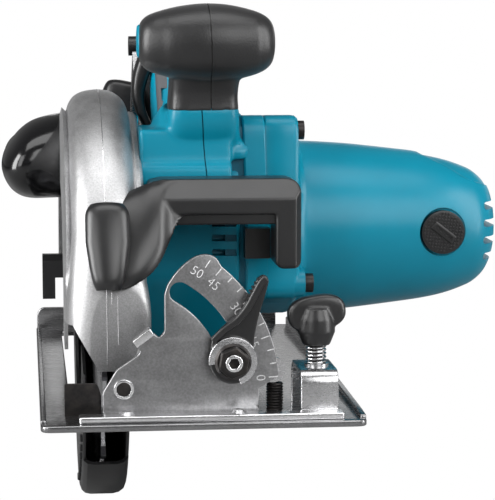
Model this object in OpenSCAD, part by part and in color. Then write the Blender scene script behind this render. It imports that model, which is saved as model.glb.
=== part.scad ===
/* [Blade] */
// Diameter of the saw blade
blade_d = 190; // [186:1:190]
// Thickness of the blade body
blade_t = 1.8; // [1.4:0.1:2.2]
// Number of carbide teeth
tooth_count = 24; // [12:4:40]
// Diameter of the blade's bore
blade_bore_d = 30; // [25:1:30]

/* [Base] */
// Width of the base plate
base_w = 145; // [144:1:150]
// Length of the base plate
base_l = 280; // [276:2:290]
// Thickness of the base sheet
base_t = 3; // [2:0.5:3]
// Height of the spindle over the sole, at the depth shown
arbor_z = 40.6; // [40:0.2:44]

/* [Tilt and depth] */
// Height of the bevel axis over the sole
bevel_z = 16; // [15:0.5:17]
// Radius of the bevel clamp's slot
bevel_slot_r = 50; // [49:0.5:51]
// Radius of the quadrant's outer edge
quadrant_r = 70; // [68:1:72]
// Radius of the depth guide's slot
depth_slot_r = 188; // [187:0.5:189]

/* [Motor] */
// Overall reach of the motor from the blade plane
motor_end = 199; // [196:1:202]

/* [Hidden] */
$fn = 64;
FINE = 128;
gear_teeth = 45;
pinion_teeth = 10;
gear_module = 1.25;
fit = 0.02;
run = 0.05;
blade_x = -42.5;
blade_r = blade_d / 2;
motor_z = arbor_z + gear_module * (gear_teeth + pinion_teeth) / 2;
base_x0 = -30;
base_x1 = base_x0 + base_w;
front_y = -base_l / 2;
rear_y = base_l / 2;
slot_x0 = -16;
slot_x1 = 34;
slot_y0 = -101;
slot_y1 = 128;
plate_y = -123;
plate_t = 3;
foot_t = 3;
bracket_y = plate_y + plate_t + 0.3;
bevel_x = 7.2;
pin_y = -110;
pin_z = 26;
pin_r = 3;
bolt_angle = 15;
bolt_x = bevel_x + bevel_slot_r * cos(bolt_angle);
bolt_z = bevel_z + bevel_slot_r * sin(bolt_angle);
lock_angle = 8;
lock_y = pin_y + depth_slot_r * cos(lock_angle);
lock_z = pin_z + depth_slot_r * sin(lock_angle);
case_r = 102.7;
guard_r = 98.7;
boss_r = 22;
spindle_r = 6;
shaft_r = 5;
brush_x = 169;
knob_x = 95.3;
knob_y = -113;
handle_mid = 47;
grip_mid = 51;
nozzle_x = -35.5;
nozzle_z = 109;
nozzle_bore_r = 15.5;
lock_button_x = 77.5;
lock_button_z = 73;
teal = [0.0, 0.42, 0.52];
black = [0.07, 0.07, 0.08];
silver = [0.78, 0.79, 0.8];
steel = [0.6, 0.6, 0.62];
copper = [0.75, 0.42, 0.22];

// Shapes below are placed from the blade plane, the spindle's plane and the sole.
module from_blade() translate([blade_x, 0, 0]) children();

// A cylinder along X, and one along Y
module x_cyl(r, x0, x1, y = 0, z = 0) translate([x0, y, z]) rotate([0, 90, 0]) cylinder(r = r, h = x1 - x0);
module y_cyl(r, y0, y1, x = 0, z = 0) translate([x, y0, z]) rotate([-90, 0, 0]) cylinder(r = r, h = y1 - y0);

// A flat shape drawn in Y and Z, given a thickness along X
module side_plate(x0, x1) translate([x0, 0, 0]) rotate([90, 0, 90]) linear_extrude(x1 - x0) children();

// A flat shape drawn in X and Z, given a thickness along Y
module front_plate(y0, y1) translate([0, y1, 0]) rotate([90, 0, 0]) linear_extrude(y1 - y0) children();

// A profile of radius and X, swept about an X axis; the angle counts from the rear over the top
module x_sweep(y, z, start = 0, turn = 360)
    translate([0, y, z]) rotate([90, 0, 90]) rotate([0, 0, start])
        rotate_extrude(angle = turn, $fn = FINE) children();

module ring_x(r0, r1, x0, x1, y = 0, z = 0) difference() {
    x_cyl(r1, x0, x1, y, z);
    x_cyl(r0, x0 - 1, x1 + 1, y, z);
}

// Points on an arc
function arc_points(r, a0, a1, n, x = 0, y = 0) =
    [for (i = [0 : n]) [x + r * cos(a0 + (a1 - a0) * i / n), y + r * sin(a0 + (a1 - a0) * i / n)]];

// A band of an annulus, with square ends
module arc_band(r0, r1, a0, a1, n = 24)
    polygon(concat(arc_points(r0, a0, a1, n), arc_points(r1, a1, a0, n)));

// A round wire wound into a spring along Z
module coil(r, wire_r, length, turns, steps = 12, sides = 6) {
    rings = turns * steps;
    points = [for (i = [0 : rings], k = [0 : sides - 1])
        let (a = 360 * i / steps, b = 360 * k / sides, q = r + wire_r * cos(b))
        [q * cos(a), q * sin(a), wire_r + (length - 2 * wire_r) * i / rings + wire_r * sin(b)]];
    walls = [for (i = [0 : rings - 1], k = [0 : sides - 1])
        let (m = (k + 1) % sides)
        [i * sides + k, i * sides + m, (i + 1) * sides + m, (i + 1) * sides + k]];
    ends = [[for (k = [sides - 1 : -1 : 0]) k], [for (k = [0 : sides - 1]) rings * sides + k]];
    polyhedron(points, concat(walls, ends), convexity = 4);
}

// A screw thread drawn as stacked cones, along Z
module thread(r, length, pitch = 1.25) {
    depth = 0.6;
    count = floor(length / pitch);
    flank = [for (i = [0 : count - 1], s = [0, 1]) [r - depth * (1 - s), (i + s / 2) * length / count]];
    rotate_extrude() polygon(concat([[0, 0]], flank, [[r - depth, length], [0, length]]));
}

// Involute gear outline; the tooth numbered 0 points along +Y of the outline
function involute(a) = tan(a) * 180 / PI - a;
module gear_outline(teeth, shift, slack, first = 90) {
    pressure = 20;
    pitch_r = gear_module * teeth / 2;
    base_r = pitch_r * cos(pressure);
    root_r = pitch_r - gear_module * (1.25 - shift);
    tip_r = pitch_r + gear_module * (1 + shift);
    half = (90 + 2 * shift * tan(pressure) * 180 / PI) / teeth - slack / pitch_r * 180 / PI;
    low_r = max(base_r, root_r) + 0.01;
    radii = [root_r, low_r, low_r + (tip_r - low_r) / 3, low_r + 2 * (tip_r - low_r) / 3, tip_r];
    spread = [for (r = radii) half + involute(pressure) - involute(acos(min(1, base_r / max(r, low_r))))];
    polygon([for (t = [0 : teeth - 1], i = [-5 : 4])
        let (k = i < 0 ? i + 5 : 4 - i, a = first + 360 * t / teeth + (i < 0 ? -1 : 1) * spread[k])
        [radii[k] * cos(a), radii[k] * sin(a)]]);
}

// ---------------------------------------------------------------- base
module base_plate() color(steel) from_blade() difference() {
    union() {
        translate([base_x0, front_y, 0]) cube([base_w, base_l, base_t]);
        translate([base_x0, front_y + 6, 0]) cube([2.5, base_l - 12, 4.4]);
        translate([base_x0 + 6, rear_y - 2.5, 0]) cube([base_w - 12, 2.5, 15]);
        side_plate(base_x1 - 2.5, base_x1)
            polygon([[front_y + 4, 0], [rear_y - 4, 0], [rear_y - 4, 9], [front_y + 4, 5]]);
    }
    translate([slot_x0, slot_y0, -1]) cube([slot_x1 - slot_x0, slot_y1 - slot_y0, base_t + 2]);
    translate([75.7, -118, -1]) cylinder(r = 4, h = base_t + 2);
    for (x = [8, 58], y = [-131, 131]) translate([x, y, -1]) cylinder(r = 2, h = base_t + 2);
    for (y = [-125, -95]) translate([knob_x, y, -1]) cylinder(r = 1.5, h = base_t + 2);
}

module quadrant_outline() polygon(concat(
    [[-2.1, base_t], [-2.1, 14.6], [1.4, 20], [4, 24.4], [13.9, 31.2], [14.8, 33], [11.2, 37.2],
        [18.9, 42.9], [23.3, 38.5], [25.7, 41.6], [25.7, 58], [27, 62.4], [30.2, 67], [34.7, 71.4],
        [38.7, 74.2]],
    arc_points(quadrant_r, 58, 4, 24, bevel_x, bevel_z),
    [[71, 16.6], [68.1, 15], [68.1, base_t]]));

module angular_plate() color(steel) from_blade() difference() {
    union() {
        front_plate(plate_y, plate_y + plate_t) quadrant_outline();
        translate([-2.1, front_y + 3, base_t]) cube([70.2, plate_y + 1 - front_y - 3, foot_t]);
        translate([-13, front_y + 3, base_t]) cube([118, 8.8, foot_t]);
    }
    front_plate(plate_y - 1, plate_y + plate_t + 1) translate([bevel_x, bevel_z])
        arc_band(bevel_slot_r - 4.6, bevel_slot_r + 4.6, 8.6, 65.2);
    y_cyl(3, plate_y - 1, plate_y + plate_t + 1, bevel_x, bevel_z);
    for (x = [8, 58]) translate([x, -131, 0]) cylinder(r = 2, h = 10);
}

module rear_support() color(steel) from_blade() difference() {
    union() {
        front_plate(120, 123) polygon([[-4, base_t], [62, base_t], [62, 9], [24, 12], [16, 24],
            [10, 28], [4, 28], [-4, 22]]);
        translate([-4, 122, base_t]) cube([66, 14, foot_t]);
    }
    y_cyl(3, 119, 124, bevel_x, bevel_z);
    for (x = [8, 58]) translate([x, 131, 0]) cylinder(r = 2, h = 10);
}

module base_rivets() color(steel) from_blade() for (x = [8, 58], y = [-131, 131]) {
    translate([x, y, 0.2]) cylinder(r = 2 - fit, h = base_t + foot_t);
    translate([x, y, base_t + foot_t]) cylinder(r1 = 3.6, r2 = 2.4, h = 1.4);
}

module bevel_pivot_pins() color(steel) from_blade() {
    difference() {
        union() {
            y_cyl(3 - fit, plate_y, bracket_y + 3.2, bevel_x, bevel_z);
            y_cyl(4.2, plate_y - 1.6, plate_y, bevel_x, bevel_z);
            y_cyl(4.6, bracket_y + 3.2, bracket_y + 4.4, bevel_x, bevel_z);
        }
        y_cyl(2.3, plate_y - 2, plate_y + 0.6, bevel_x, bevel_z);
    }
    y_cyl(3 - fit, 116.4, 123, bevel_x, bevel_z);
    y_cyl(4.6, 115.2, 116.4, bevel_x, bevel_z);
    y_cyl(4.2, 123, 124.4, bevel_x, bevel_z);
}

module stop_screw() color(black) from_blade() difference() {
    translate([75.7, -118, 0.4]) thread(3.98, 16.4);
    translate([75.7, -118, 13.5]) cylinder(r = 2.3, h = 5, $fn = 6);
}

module ring_screw() color(steel) from_blade() difference() {
    y_cyl(5.8, plate_y + plate_t, plate_y + plate_t + 2.6, 74.6, 22.9);
    y_cyl(3.2, plate_y + plate_t + 1.4, plate_y + plate_t + 3, 74.6, 22.9);
}

module fence_bracket() color(steel) from_blade() difference() {
    union() {
        translate([86.5, -128, base_t]) cube([17, 2.5, 20.4]);
        translate([86.5, -94.5, base_t]) cube([17, 2.5, 20.4]);
        translate([86.5, -128, 20.9]) cube([17, 36, 2.5]);
        translate([knob_x, knob_y, 17]) cylinder(r = 5.5, h = 5);
    }
    translate([knob_x, knob_y, 10]) cylinder(r = 3 + run, h = 20);
}

module clamp_knob() color(black) from_blade() translate([knob_x, knob_y, 0]) {
    translate([0, 0, 14]) cylinder(r = 3, h = 30);
    translate([0, 0, 33]) cylinder(r1 = 6, r2 = 8.5, h = 8);
    translate([0, 0, 41]) cylinder(r = 8.5, h = 12);
    rotate([0, 0, 20]) hull() for (s = [-1, 1])
        translate([s * 9.5, 0, 47]) rotate([90, 0, 0]) cylinder(r = 3.8, h = 7, center = true, $fn = 32);
}

module clamp_spring() color(steel) from_blade() translate([knob_x, knob_y, 23.5]) coil(4.3, 0.45, 9.3, 5);

// ---------------------------------------------------------------- bevel bracket
module front_bracket() color(steel) from_blade() difference() {
    union() {
        y_cyl(10.5, bracket_y, bracket_y + 3, bevel_x, bevel_z);
        front_plate(bracket_y, bracket_y + 3)
            polygon([[-10, 19], [7, 6], [63, 12], [66, 24], [66, 36], [27, 36], [-10, 33]]);
        for (x = [-10, 24]) {
            x_cyl(6, x, x + 3, pin_y, pin_z);
            side_plate(x, x + 3)
                polygon([[bracket_y + 1, 20], [pin_y, 20], [pin_y, 32], [bracket_y + 1, 32]]);
        }
    }
    y_cyl(3 + run, bracket_y - 1, bracket_y + 4, bevel_x, bevel_z);
    y_cyl(4 + fit, bracket_y - 1, bracket_y + 4, bolt_x, bolt_z);
    x_cyl(pin_r + fit, -12, 30, pin_y, pin_z);
}

module rear_bracket() color(steel) from_blade() difference() {
    union() {
        y_cyl(10.5, 116.7, 119.7, bevel_x, bevel_z);
        front_plate(116.7, 119.7) polygon([[7, 6], [24, 10], [24, 40], [14, 40], [0, 24]]);
    }
    y_cyl(3 + run, 116, 120, bevel_x, bevel_z);
}

module depth_guide() color(steel) from_blade() difference() {
    side_plate(20, 22.5) union() {
        translate([pin_y, pin_z]) arc_band(depth_slot_r - 8, depth_slot_r + 8, -4, 44, 40);
        polygon([[76, 14], [116.7, 12], [116.7, 38], [104, 36], [84, 30]]);
    }
    side_plate(19, 23) translate([pin_y, pin_z])
        arc_band(depth_slot_r - 3.2, depth_slot_r + 3.2, lock_angle - 4.5, lock_angle + 32, 32);
}

module depth_pivot_pin() color(steel) from_blade() {
    x_cyl(pin_r, -11.5, 28.5, pin_y, pin_z);
    x_cyl(5, -13, -11.5, pin_y, pin_z);
    x_cyl(4.6, 28.5, 30, pin_y, pin_z);
}

module bevel_bolt() color(steel) from_blade() {
    y_cyl(4, plate_y - 20, bracket_y + 3, bolt_x, bolt_z);
    y_cyl(7.5, bracket_y + 3, bracket_y + 6, bolt_x, bolt_z);
}

module c_ring() color(silver) from_blade() difference() {
    y_cyl(10.6, plate_y - 3.8, plate_y - 0.3, bolt_x, bolt_z);
    y_cyl(7.7, plate_y - 5, plate_y, bolt_x, bolt_z);
    translate([bolt_x - 14, plate_y - 5, bolt_z - 10]) cube([12, 6, 9]);
}

module bevel_lever() color(black) from_blade() difference() {
    union() {
        y_cyl(7.4, plate_y - 12, plate_y - 0.3, bolt_x, bolt_z);
        front_plate(plate_y - 11, plate_y - 5) translate([bolt_x, bolt_z])
            polygon([[-6, 2], [-1, -7], [7, -2], [11, 8], [15, 20], [16.5, 30], [15, 38], [10.5, 40],
                [7.5, 36], [6.5, 26], [2, 14]]);
    }
    y_cyl(4 + run, plate_y - 13, plate_y + 1, bolt_x, bolt_z);
}

module bevel_nut() color(steel) from_blade() difference() {
    union() {
        y_cyl(7.5, plate_y - 17, plate_y - 12.2, bolt_x, bolt_z, $fn = 6);
        y_cyl(6, plate_y - 18.6, plate_y - 17, bolt_x, bolt_z);
        y_cyl(8.2, plate_y - 12.9, plate_y - 12.1, bolt_x, bolt_z);
    }
    y_cyl(4 + fit, plate_y - 22, plate_y - 10, bolt_x, bolt_z);
}

// ---------------------------------------------------------------- saw head
case_start = 8;
case_turn = 186;
module case_profile() polygon([[31, 17.5], [94, 17.5], [100.5, 13], [case_r, 6], [case_r, -6],
    [100.5, -13], [94, -18], [57, -18], [57, -15.5], [93, -15.5], [98.3, -11.8],
    [case_r - 2.5, -5.5], [case_r - 2.5, 5.5], [98.3, 11], [93, 15], [31, 15]]);

module blade_case() color(silver) from_blade() difference() {
    union() {
        x_sweep(0, arbor_z, case_start, case_turn) case_profile();
        ring_x(24, 34, 15.2, 17.3, 0, arbor_z);
        difference() {
            union() {
                x_cyl(6, -6.7, 23.7, pin_y, pin_z);
                side_plate(-6.7, 6)
                    polygon([[pin_y - 3, 31], [-98.5, 46], [-97, 22], [pin_y + 1, 20.4]]);
            }
            x_cyl(case_r - 1.2, -8, 25, 0, arbor_z);
        }
    }
    x_cyl(10, -20, -12, 42, nozzle_z - 2);
    x_cyl(pin_r + run, -20, 30, pin_y, pin_z);
    x_cyl(2.9 + fit, 10, 20, lock_y, lock_z);
    for (a = [20, 110, 200, 290]) x_cyl(2.1, 10, 20, 29 * cos(a), arbor_z + 29 * sin(a));
}

module case_screws() color(steel) from_blade() for (a = [20, 110, 200, 290]) {
    x_cyl(2.1 - fit, 14.9, 20, 29 * cos(a), arbor_z + 29 * sin(a));
    x_cyl(4, 12.9, 14.98, 29 * cos(a), arbor_z + 29 * sin(a));
}

module dust_nozzle() color(black) from_blade() difference() {
    union() {
        y_cyl(17, 66, 106, nozzle_x, nozzle_z);
        for (z = [-5, 5]) {
            y_cyl(15.5, 28, 66, nozzle_x + 1.5, nozzle_z + z);
            translate([nozzle_x + 1.5, 28, nozzle_z + z]) sphere(r = 15.5);
        }
        translate([nozzle_x - 14, 28, nozzle_z - 5]) cube([31, 38, 10]);
        x_cyl(13, nozzle_x, -18.02, 42, nozzle_z - 2);
    }
    y_cyl(nozzle_bore_r, 64, 107, nozzle_x, nozzle_z);
    y_cyl(13, 28, 70, nozzle_x + 1.5, nozzle_z);
    x_cyl(10, nozzle_x, -10, 42, nozzle_z - 2);
}

module air_hood() color(black) from_blade() {
    x_sweep(0, arbor_z, 149, 21)
        polygon([[103.2, -9], [109, -9], [112, -6], [112, 9], [109, 12], [103.2, 12]]);
    difference() {
        front_plate(-97, -86) polygon([[11.5, 66], [11.5, 90], [22, 98], [31, 104], [46, 104], [46, 88],
            [33, 86], [26, 76], [18, 66]]);
        x_cyl(104, 0, 18.3, 0, arbor_z);
    }
    difference() {
        front_plate(-86, -58) polygon([[31, 86], [31, 106], [86, 106], [90, 104], [92, 100], [92, 64],
            [85, 64], [85, 86]]);
        translate([33, -84, 89]) cube([57, 30, 14]);
        translate([87.5, -84, 60]) cube([2.5, 30, 40]);
    }
}

module housing_outline(r0, r1) {
    translate([0, arbor_z]) circle(r = r0);
    translate([0, motor_z]) circle(r = r1);
    polygon([[-r0, arbor_z], [r0, arbor_z], [r1, motor_z], [-r1, motor_z]]);
}

module gear_housing() color(teal) from_blade() difference() {
    union() {
        side_plate(17.5, 64) housing_outline(31.5, 36);
        x_cyl(boss_r, 7.2, 20, 0, arbor_z);
    }
    side_plate(23, 65) housing_outline(29.3, 33);
    x_cyl(16 + fit, 9.5, 24, 0, arbor_z);
    x_cyl(12, 0, 12, 0, arbor_z);
    for (a = [20, 110, 200, 290]) x_cyl(2.1, 17, 20.1, 29 * cos(a), arbor_z + 29 * sin(a));
}

module bearing_cover() color(teal) from_blade() difference() {
    side_plate(64, 71) housing_outline(31.5, 36);
    x_cyl(11 + fit, 60, 69, 0, arbor_z);
    x_cyl(15 + fit, 62, 73, 0, motor_z);
}

flange_corners = [[-40, 51, 95], [40, 46, 95], [-45, -23, 99], [46, -32, 95]];
module motor_shape() x_sweep(0, motor_z) polygon([[0, 71], [44, 71], [44, 100], [42.8, 101], [41.8, 125],
    [37.7, 162], [33.5, 178], [30.6, 186], [26, 193], [21.3, 196.5], [20, motor_end], [0, motor_end]]);

module motor_housing() color(teal) from_blade() difference() {
    union() {
        difference() {
            union() {
                motor_shape();
                for (c = flange_corners) {
                    x_cyl(7, 71, c[2], c[0], motor_z + c[1]);
                    side_plate(71, 79) translate([0, motor_z]) rotate(atan2(c[1], c[0]))
                        translate([30, -6]) square([norm([c[0], c[1]]) - 30, 12]);
                }
            }
            x_sweep(0, motor_z) polygon([[0, 74], [40, 74], [39.8, 101], [38.8, 125], [34.7, 162],
                [30.5, 178], [0, 178]]);
        }
        for (a = [35 : 90 : 305]) x_sweep(0, motor_z, a, 20)
            polygon([[35.62, 108], [40.5, 108], [38, 148], [35.62, 148]]);
        intersection() {
            motor_shape();
            for (y = [-50, 24]) y_cyl(13.5, y, y + 26, brush_x, motor_z);
        }
    }
    x_cyl(24, 70, 76, 0, motor_z);
    x_cyl(11 + fit, 177, 187, 0, motor_z);
    for (i = [-1.5 : 1.5]) translate([192.5, -30, motor_z - 2.7 + i * 8.8 - 1.65]) cube([8, 60, 3.3]);
    y_cyl(11.6, -50, -33.2, brush_x, motor_z);
    y_cyl(11.6, 33.2, 50, brush_x, motor_z);
    y_cyl(6 + fit, -50, 50, brush_x, motor_z);
    y_cyl(3 + run, -50, -30, lock_button_x, lock_button_z);
    for (c = flange_corners) {
        x_cyl(2.6, 70, 110, c[0], motor_z + c[1]);
    }
}

module housing_screws() color(steel) from_blade() for (c = flange_corners) {
    x_cyl(2.6 - fit, 71.5, c[2] + 1, c[0], motor_z + c[1]);
    x_cyl(4.6, c[2] + 0.02, c[2] + 4, c[0], motor_z + c[1]);
}

module ball_bearing(r0, r1, x0, x1, z) {
    step = (r1 - r0) / 3.4;
    x_sweep(0, z) polygon([[r0, x0], [r0 + step, x0], [r0 + step, x0 + 0.6], [r1 - step, x0 + 0.6],
        [r1 - step, x0], [r1, x0], [r1, x1], [r1 - step, x1], [r1 - step, x1 - 0.6],
        [r0 + step, x1 - 0.6], [r0 + step, x1], [r0, x1]]);
}

module spindle_bearings() color(silver) from_blade() {
    ball_bearing(spindle_r + run, 16, 12.1, 22, arbor_z);
    ball_bearing(4 + run, 11, 62, 69, arbor_z);
}

module motor_bearings() color(silver) from_blade() {
    ball_bearing(shaft_r + run, 15, 62, 71, motor_z);
    ball_bearing(4 + run, 11, 180, 187, motor_z);
}

module field_core() color(steel) from_blade() difference() {
    x_cyl(35.6, 110, 146, 0, motor_z);
    x_cyl(24.6, 109, 147, 0, motor_z);
    for (s = [-1, 1]) translate([100, s * 26 - 7, motor_z - 15]) cube([60, 14, 30]);
}

module field_coils() color(copper) from_blade() for (s = [-1, 1])
    difference() {
        translate([104, s * 26.5 - 5.5, motor_z - 13]) cube([48, 11, 26]);
        x_cyl(25.2, 100, 156, 0, motor_z);
    }

module brush_holders() color([0.75, 0.6, 0.25]) from_blade() for (s = [0, 1])
    translate([brush_x, 0, motor_z]) rotate([0, 0, 180 * s]) difference() {
        y_cyl(6, 15, 32, 0, 0);
        translate([-3.2, 10, -4.2]) cube([6.4, 30, 8.4]);
    }

module carbon_brushes() color([0.15, 0.15, 0.16]) from_blade() for (s = [0, 1])
    translate([brush_x, 0, motor_z]) rotate([0, 0, 180 * s]) translate([-3.1, 12.4, -4.1]) cube([6.2, 14, 8.2]);

module brush_caps() color(black) from_blade() for (s = [0, 1])
    translate([brush_x, 0, motor_z]) rotate([0, 0, 180 * s]) difference() {
        union() {
            y_cyl(10.1, 33.3, 37.2, 0, 0);
            y_cyl(5.9, 32.1, 34, 0, 0);
        }
        rotate([0, 35, 0]) translate([-8, 35.6, -1.2]) cube([16, 3, 2.4]);
    }

// ---------------------------------------------------------------- handles
module handle_outline(inset = 0) offset(delta = -inset) difference() {
    offset(r = 5) offset(delta = -5) polygon([[-50, 97], [-51, 112], [-38, 124], [-16, 132], [2, 146],
        [10, 166], [24, 178], [48, 183], [76, 176], [106, 158], [126, 134], [133, 110], [128, 84],
        [112, 74], [94, 80], [86, 98], [68, 108], [34, 112], [-34, 112], [-40, 97]]);
    offset(r = 5) polygon([[31, 134], [42, 148], [58, 153], [80, 145], [98, 130], [104, 116],
        [98, 108], [84, 113], [62, 126], [40, 128]]);
}

module handle_cuts() {
    translate([handle_mid - 7.5, 44, 146]) cube([15, 34, 20]);
    y_cyl(8 + fit, 118, 146, handle_mid, 96);
    for (p = [[-36, 114], [16, 160], [118, 118]]) x_cyl(2.1, 20, 80, p[0], p[1]);
}

module handle_left() color(teal) from_blade() difference() {
    union() {
        side_plate(26, handle_mid) handle_outline();
        side_plate(17.5, 26) polygon([[-50, 100], [-48, 114], [-34, 122], [20, 124], [26, 113], [-36, 113], [-40, 100]]);
    }
    side_plate(29, 50) handle_outline(3);
    x_cyl(5.2, 20, 30, 40, 165);
    handle_cuts();
}

module handle_right() color(teal) from_blade() difference() {
    side_plate(handle_mid, 68) handle_outline();
    side_plate(44, 65) handle_outline(3);
    handle_cuts();
}

module handle_screws() color(steel) from_blade() for (p = [[-36, 114], [16, 160], [118, 118]]) {
    x_cyl(2.1 - fit, 27, 68, p[0], p[1]);
    x_cyl(3.9, 68.02, 70.5, p[0], p[1]);
}

grip_y = -56;
grip_z = 168.5;
module front_grip() {
    x_sweep(grip_y, grip_z) polygon([[0, 20], [9, 20.6], [13.5, 22.5], [16, 26], [17.4, 34], [18.5, 44],
        [18.5, 60], [17.4, 72], [16, 79.6], [13.5, 83.2], [9, 85], [0, 85.6]]);
    side_plate(33, 67) polygon([[-66, 152], [-40, 146], [-26, 136], [-17, 132.4], [1, 146.6], [8, 166],
        [-20, 176], [-40, 172]]);
}

module front_grip_left() color(black) from_blade() intersection() {
    front_grip();
    translate([0, -100, 100]) cube([grip_mid, 200, 120]);
}

module front_grip_right() color(black) from_blade() intersection() {
    front_grip();
    translate([grip_mid, -100, 100]) cube([60, 200, 120]);
}

module switch_unit() color(black) from_blade() translate([handle_mid - 9, 50, 165]) cube([18, 24, 6.5]);

module cord_gland() color(black) from_blade() difference() {
    union() {
        y_cyl(8, 127, 140, handle_mid, 96);
        y_cyl(9.5, 134, 137, handle_mid, 96);
    }
    y_cyl(4, 120, 150, handle_mid, 96);
}

module depth_bolt() color(steel) from_blade() {
    x_cyl(2.9, 15, 36, lock_y, lock_z);
    x_cyl(5.4, 12.6, 15, lock_y, lock_z);
}

module depth_lever() color(black) from_blade() difference() {
    union() {
        x_cyl(8, 23, 34, lock_y, lock_z);
        side_plate(25, 31) translate([lock_y, lock_z])
            polygon([[-4, 6], [4, -7], [30, -8], [56, -2], [60, 4], [56, 8], [30, 5]]);
    }
    x_cyl(2.9 + run, 20, 40, lock_y, lock_z);
}

module trigger() color(black) from_blade() side_plate(handle_mid - 7, handle_mid + 7)
    polygon([[46, 160], [46, 146], [52, 143], [62, 144], [72, 149], [76, 160]]);

module lock_off_button() color(black) from_blade() {
    x_cyl(5, 18.5, 30, 40, 165);
    x_cyl(6, 30.2, 32, 40, 165);
    x_cyl(3, 30, 31, 40, 165);
}

module shaft_lock() color(black) from_blade() {
    translate([68.5, -60, 66]) cube([12, 8, 14.5]);
    y_cyl(3, -52, -12, lock_button_x, lock_button_z);
}

// ---------------------------------------------------------------- lower guard
module lower_guard() color(black) from_blade() {
    x_sweep(0, arbor_z, 226, 139) polygon([[26, 10.4], [94.6, 10.4], [97.1, 6.8], [97.1, -6],
        [95, -8.4], [60, -8.4], [60, -10], [guard_r - 2.4, -10], [guard_r, -6.5], [guard_r, 7.5],
        [guard_r - 3, 12], [26, 12]]);
    x_sweep(0, arbor_z, 194, 34) polygon([[27, 10.5], [27, 11.9], [95.2, 11.9], [95.2, 10.5]]);
    x_sweep(0, arbor_z, 194, 34) polygon([[61, -9.9], [61, -8.5], [95.8, -8.5], [95.8, -9.9]]);
    x_sweep(0, arbor_z, 335, 40) polygon([[31, -9.9], [31, -8.5], [62, -8.5], [62, -9.9]]);
    ring_x(boss_r + run, 31, 7.5, 11.8, 0, arbor_z);
}

module guard_lever() color(black) from_blade() difference() {
    side_plate(-27, -10.02) polygon([[32, 35], [41, 35], [41, 56], [38, 58], [34, 58], [32, 55]]);
    translate([-20.5, 30, 34]) cube([5.5, 14, 12]);
}

module guard_ring() color(steel) from_blade() ring_x(17, 24, 6.2, 7.18, 0, arbor_z);

module guard_spring() color(steel) from_blade() translate([13.4, 0, arbor_z]) rotate([0, 90, 0])
    translate([0, 0, -0.7]) coil(23.3, 0.5, 1.7, 1, 32);

// ---------------------------------------------------------------- blade and spindle
module spindle() color(steel) from_blade() difference() {
    union() {
        x_cyl(spindle_r, 1, 60, 0, arbor_z);
        x_cyl(4, 60, 68.6, 0, arbor_z);
    }
    x_cyl(4, 0, 26, 0, arbor_z);
}

module drive_gear() color(steel) from_blade() difference() {
    translate([0, 0, arbor_z]) side_plate(40, 52) gear_outline(gear_teeth, -0.4, 0.08);
    x_cyl(spindle_r + fit, 30, 60, 0, arbor_z);
}

module inner_flange() color(steel) from_blade() difference() {
    union() {
        x_cyl(15.8, 0.9, 5.8, 0, arbor_z);
        x_cyl(20, 0.9, 4, 0, arbor_z);
        x_cyl(blade_bore_d / 2 - run, -0.7, 1, 0, arbor_z);
    }
    x_cyl(spindle_r + fit, 0.99, 10, 0, arbor_z);
    x_cyl(4 + fit, -2, 10, 0, arbor_z);
}

module tooth_boxes() for (i = [0 : tooth_count - 1]) rotate([0, 0, 360 * i / tooth_count])
    translate([blade_r - 7, 0, 0]) square([7, 2.2]);

module blade() color(silver) from_blade() translate([0, 0, arbor_z]) difference() {
    side_plate(-blade_t / 2, blade_t / 2) difference() {
        polygon([for (i = [0 : tooth_count - 1], k = [0 : 4])
            let (a = 360 * i / tooth_count, step = [0.9, 1.7, 5, 10.6, 14.1][k] * 24 / tooth_count,
                 r = blade_r - [1, 1.2, 3, 12, 9.5][k])
            [r * cos(a + step), r * sin(a + step)]]);
        tooth_boxes();
    }
    x_cyl(blade_bore_d / 2, -5, 5);
}

module carbide_tips() color(steel) from_blade() translate([0, 0, arbor_z])
    side_plate(-1.2, 1.2) tooth_boxes();

module outer_flange() color(steel) from_blade() difference() {
    x_cyl(18, -4.4, -0.92, 0, arbor_z);
    x_cyl(4 + fit, -8, 2, 0, arbor_z);
    x_cyl(blade_bore_d / 2 + 0.1, -1.4, 2, 0, arbor_z);
}

module blade_bolt() color(steel) from_blade() {
    x_cyl(4 - fit, -5, 24, 0, arbor_z);
    x_cyl(7.5, -10, -5.6, 0, arbor_z, $fn = 6);
    x_cyl(9, -5.6, -4.42, 0, arbor_z);
}

// ---------------------------------------------------------------- armature
module armature_shaft() color(steel) from_blade() translate([0, 0, motor_z]) {
    side_plate(38, 56) gear_outline(pinion_teeth, 0.4, 0.08, 270 + 180 / pinion_teeth);
    x_cyl(shaft_r, 56, 178);
    x_cyl(4, 178, 186.6);
    x_cyl(4, 30, 38);
}

module armature_core() color(steel) from_blade() difference() {
    union() {
        x_cyl(24, 110, 146, 0, motor_z);
        x_cyl(19, 103, 154, 0, motor_z);
    }
    x_cyl(shaft_r + fit, 100, 160, 0, motor_z);
}

module commutator() color(copper) from_blade() ring_x(shaft_r + fit, 12, 160, 176, 0, motor_z);

module cooling_fan() color(black) from_blade() difference() {
    union() {
        x_cyl(34, 84, 86, 0, motor_z);
        x_cyl(9, 84, 98, 0, motor_z);
        for (a = [0 : 30 : 330]) translate([86, 0, motor_z]) rotate([a, 0, 0]) translate([-0.1, -0.8, 14])
            cube([9, 1.6, 19]);
    }
    x_cyl(shaft_r + fit, 80, 100, 0, motor_z);
}

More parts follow.
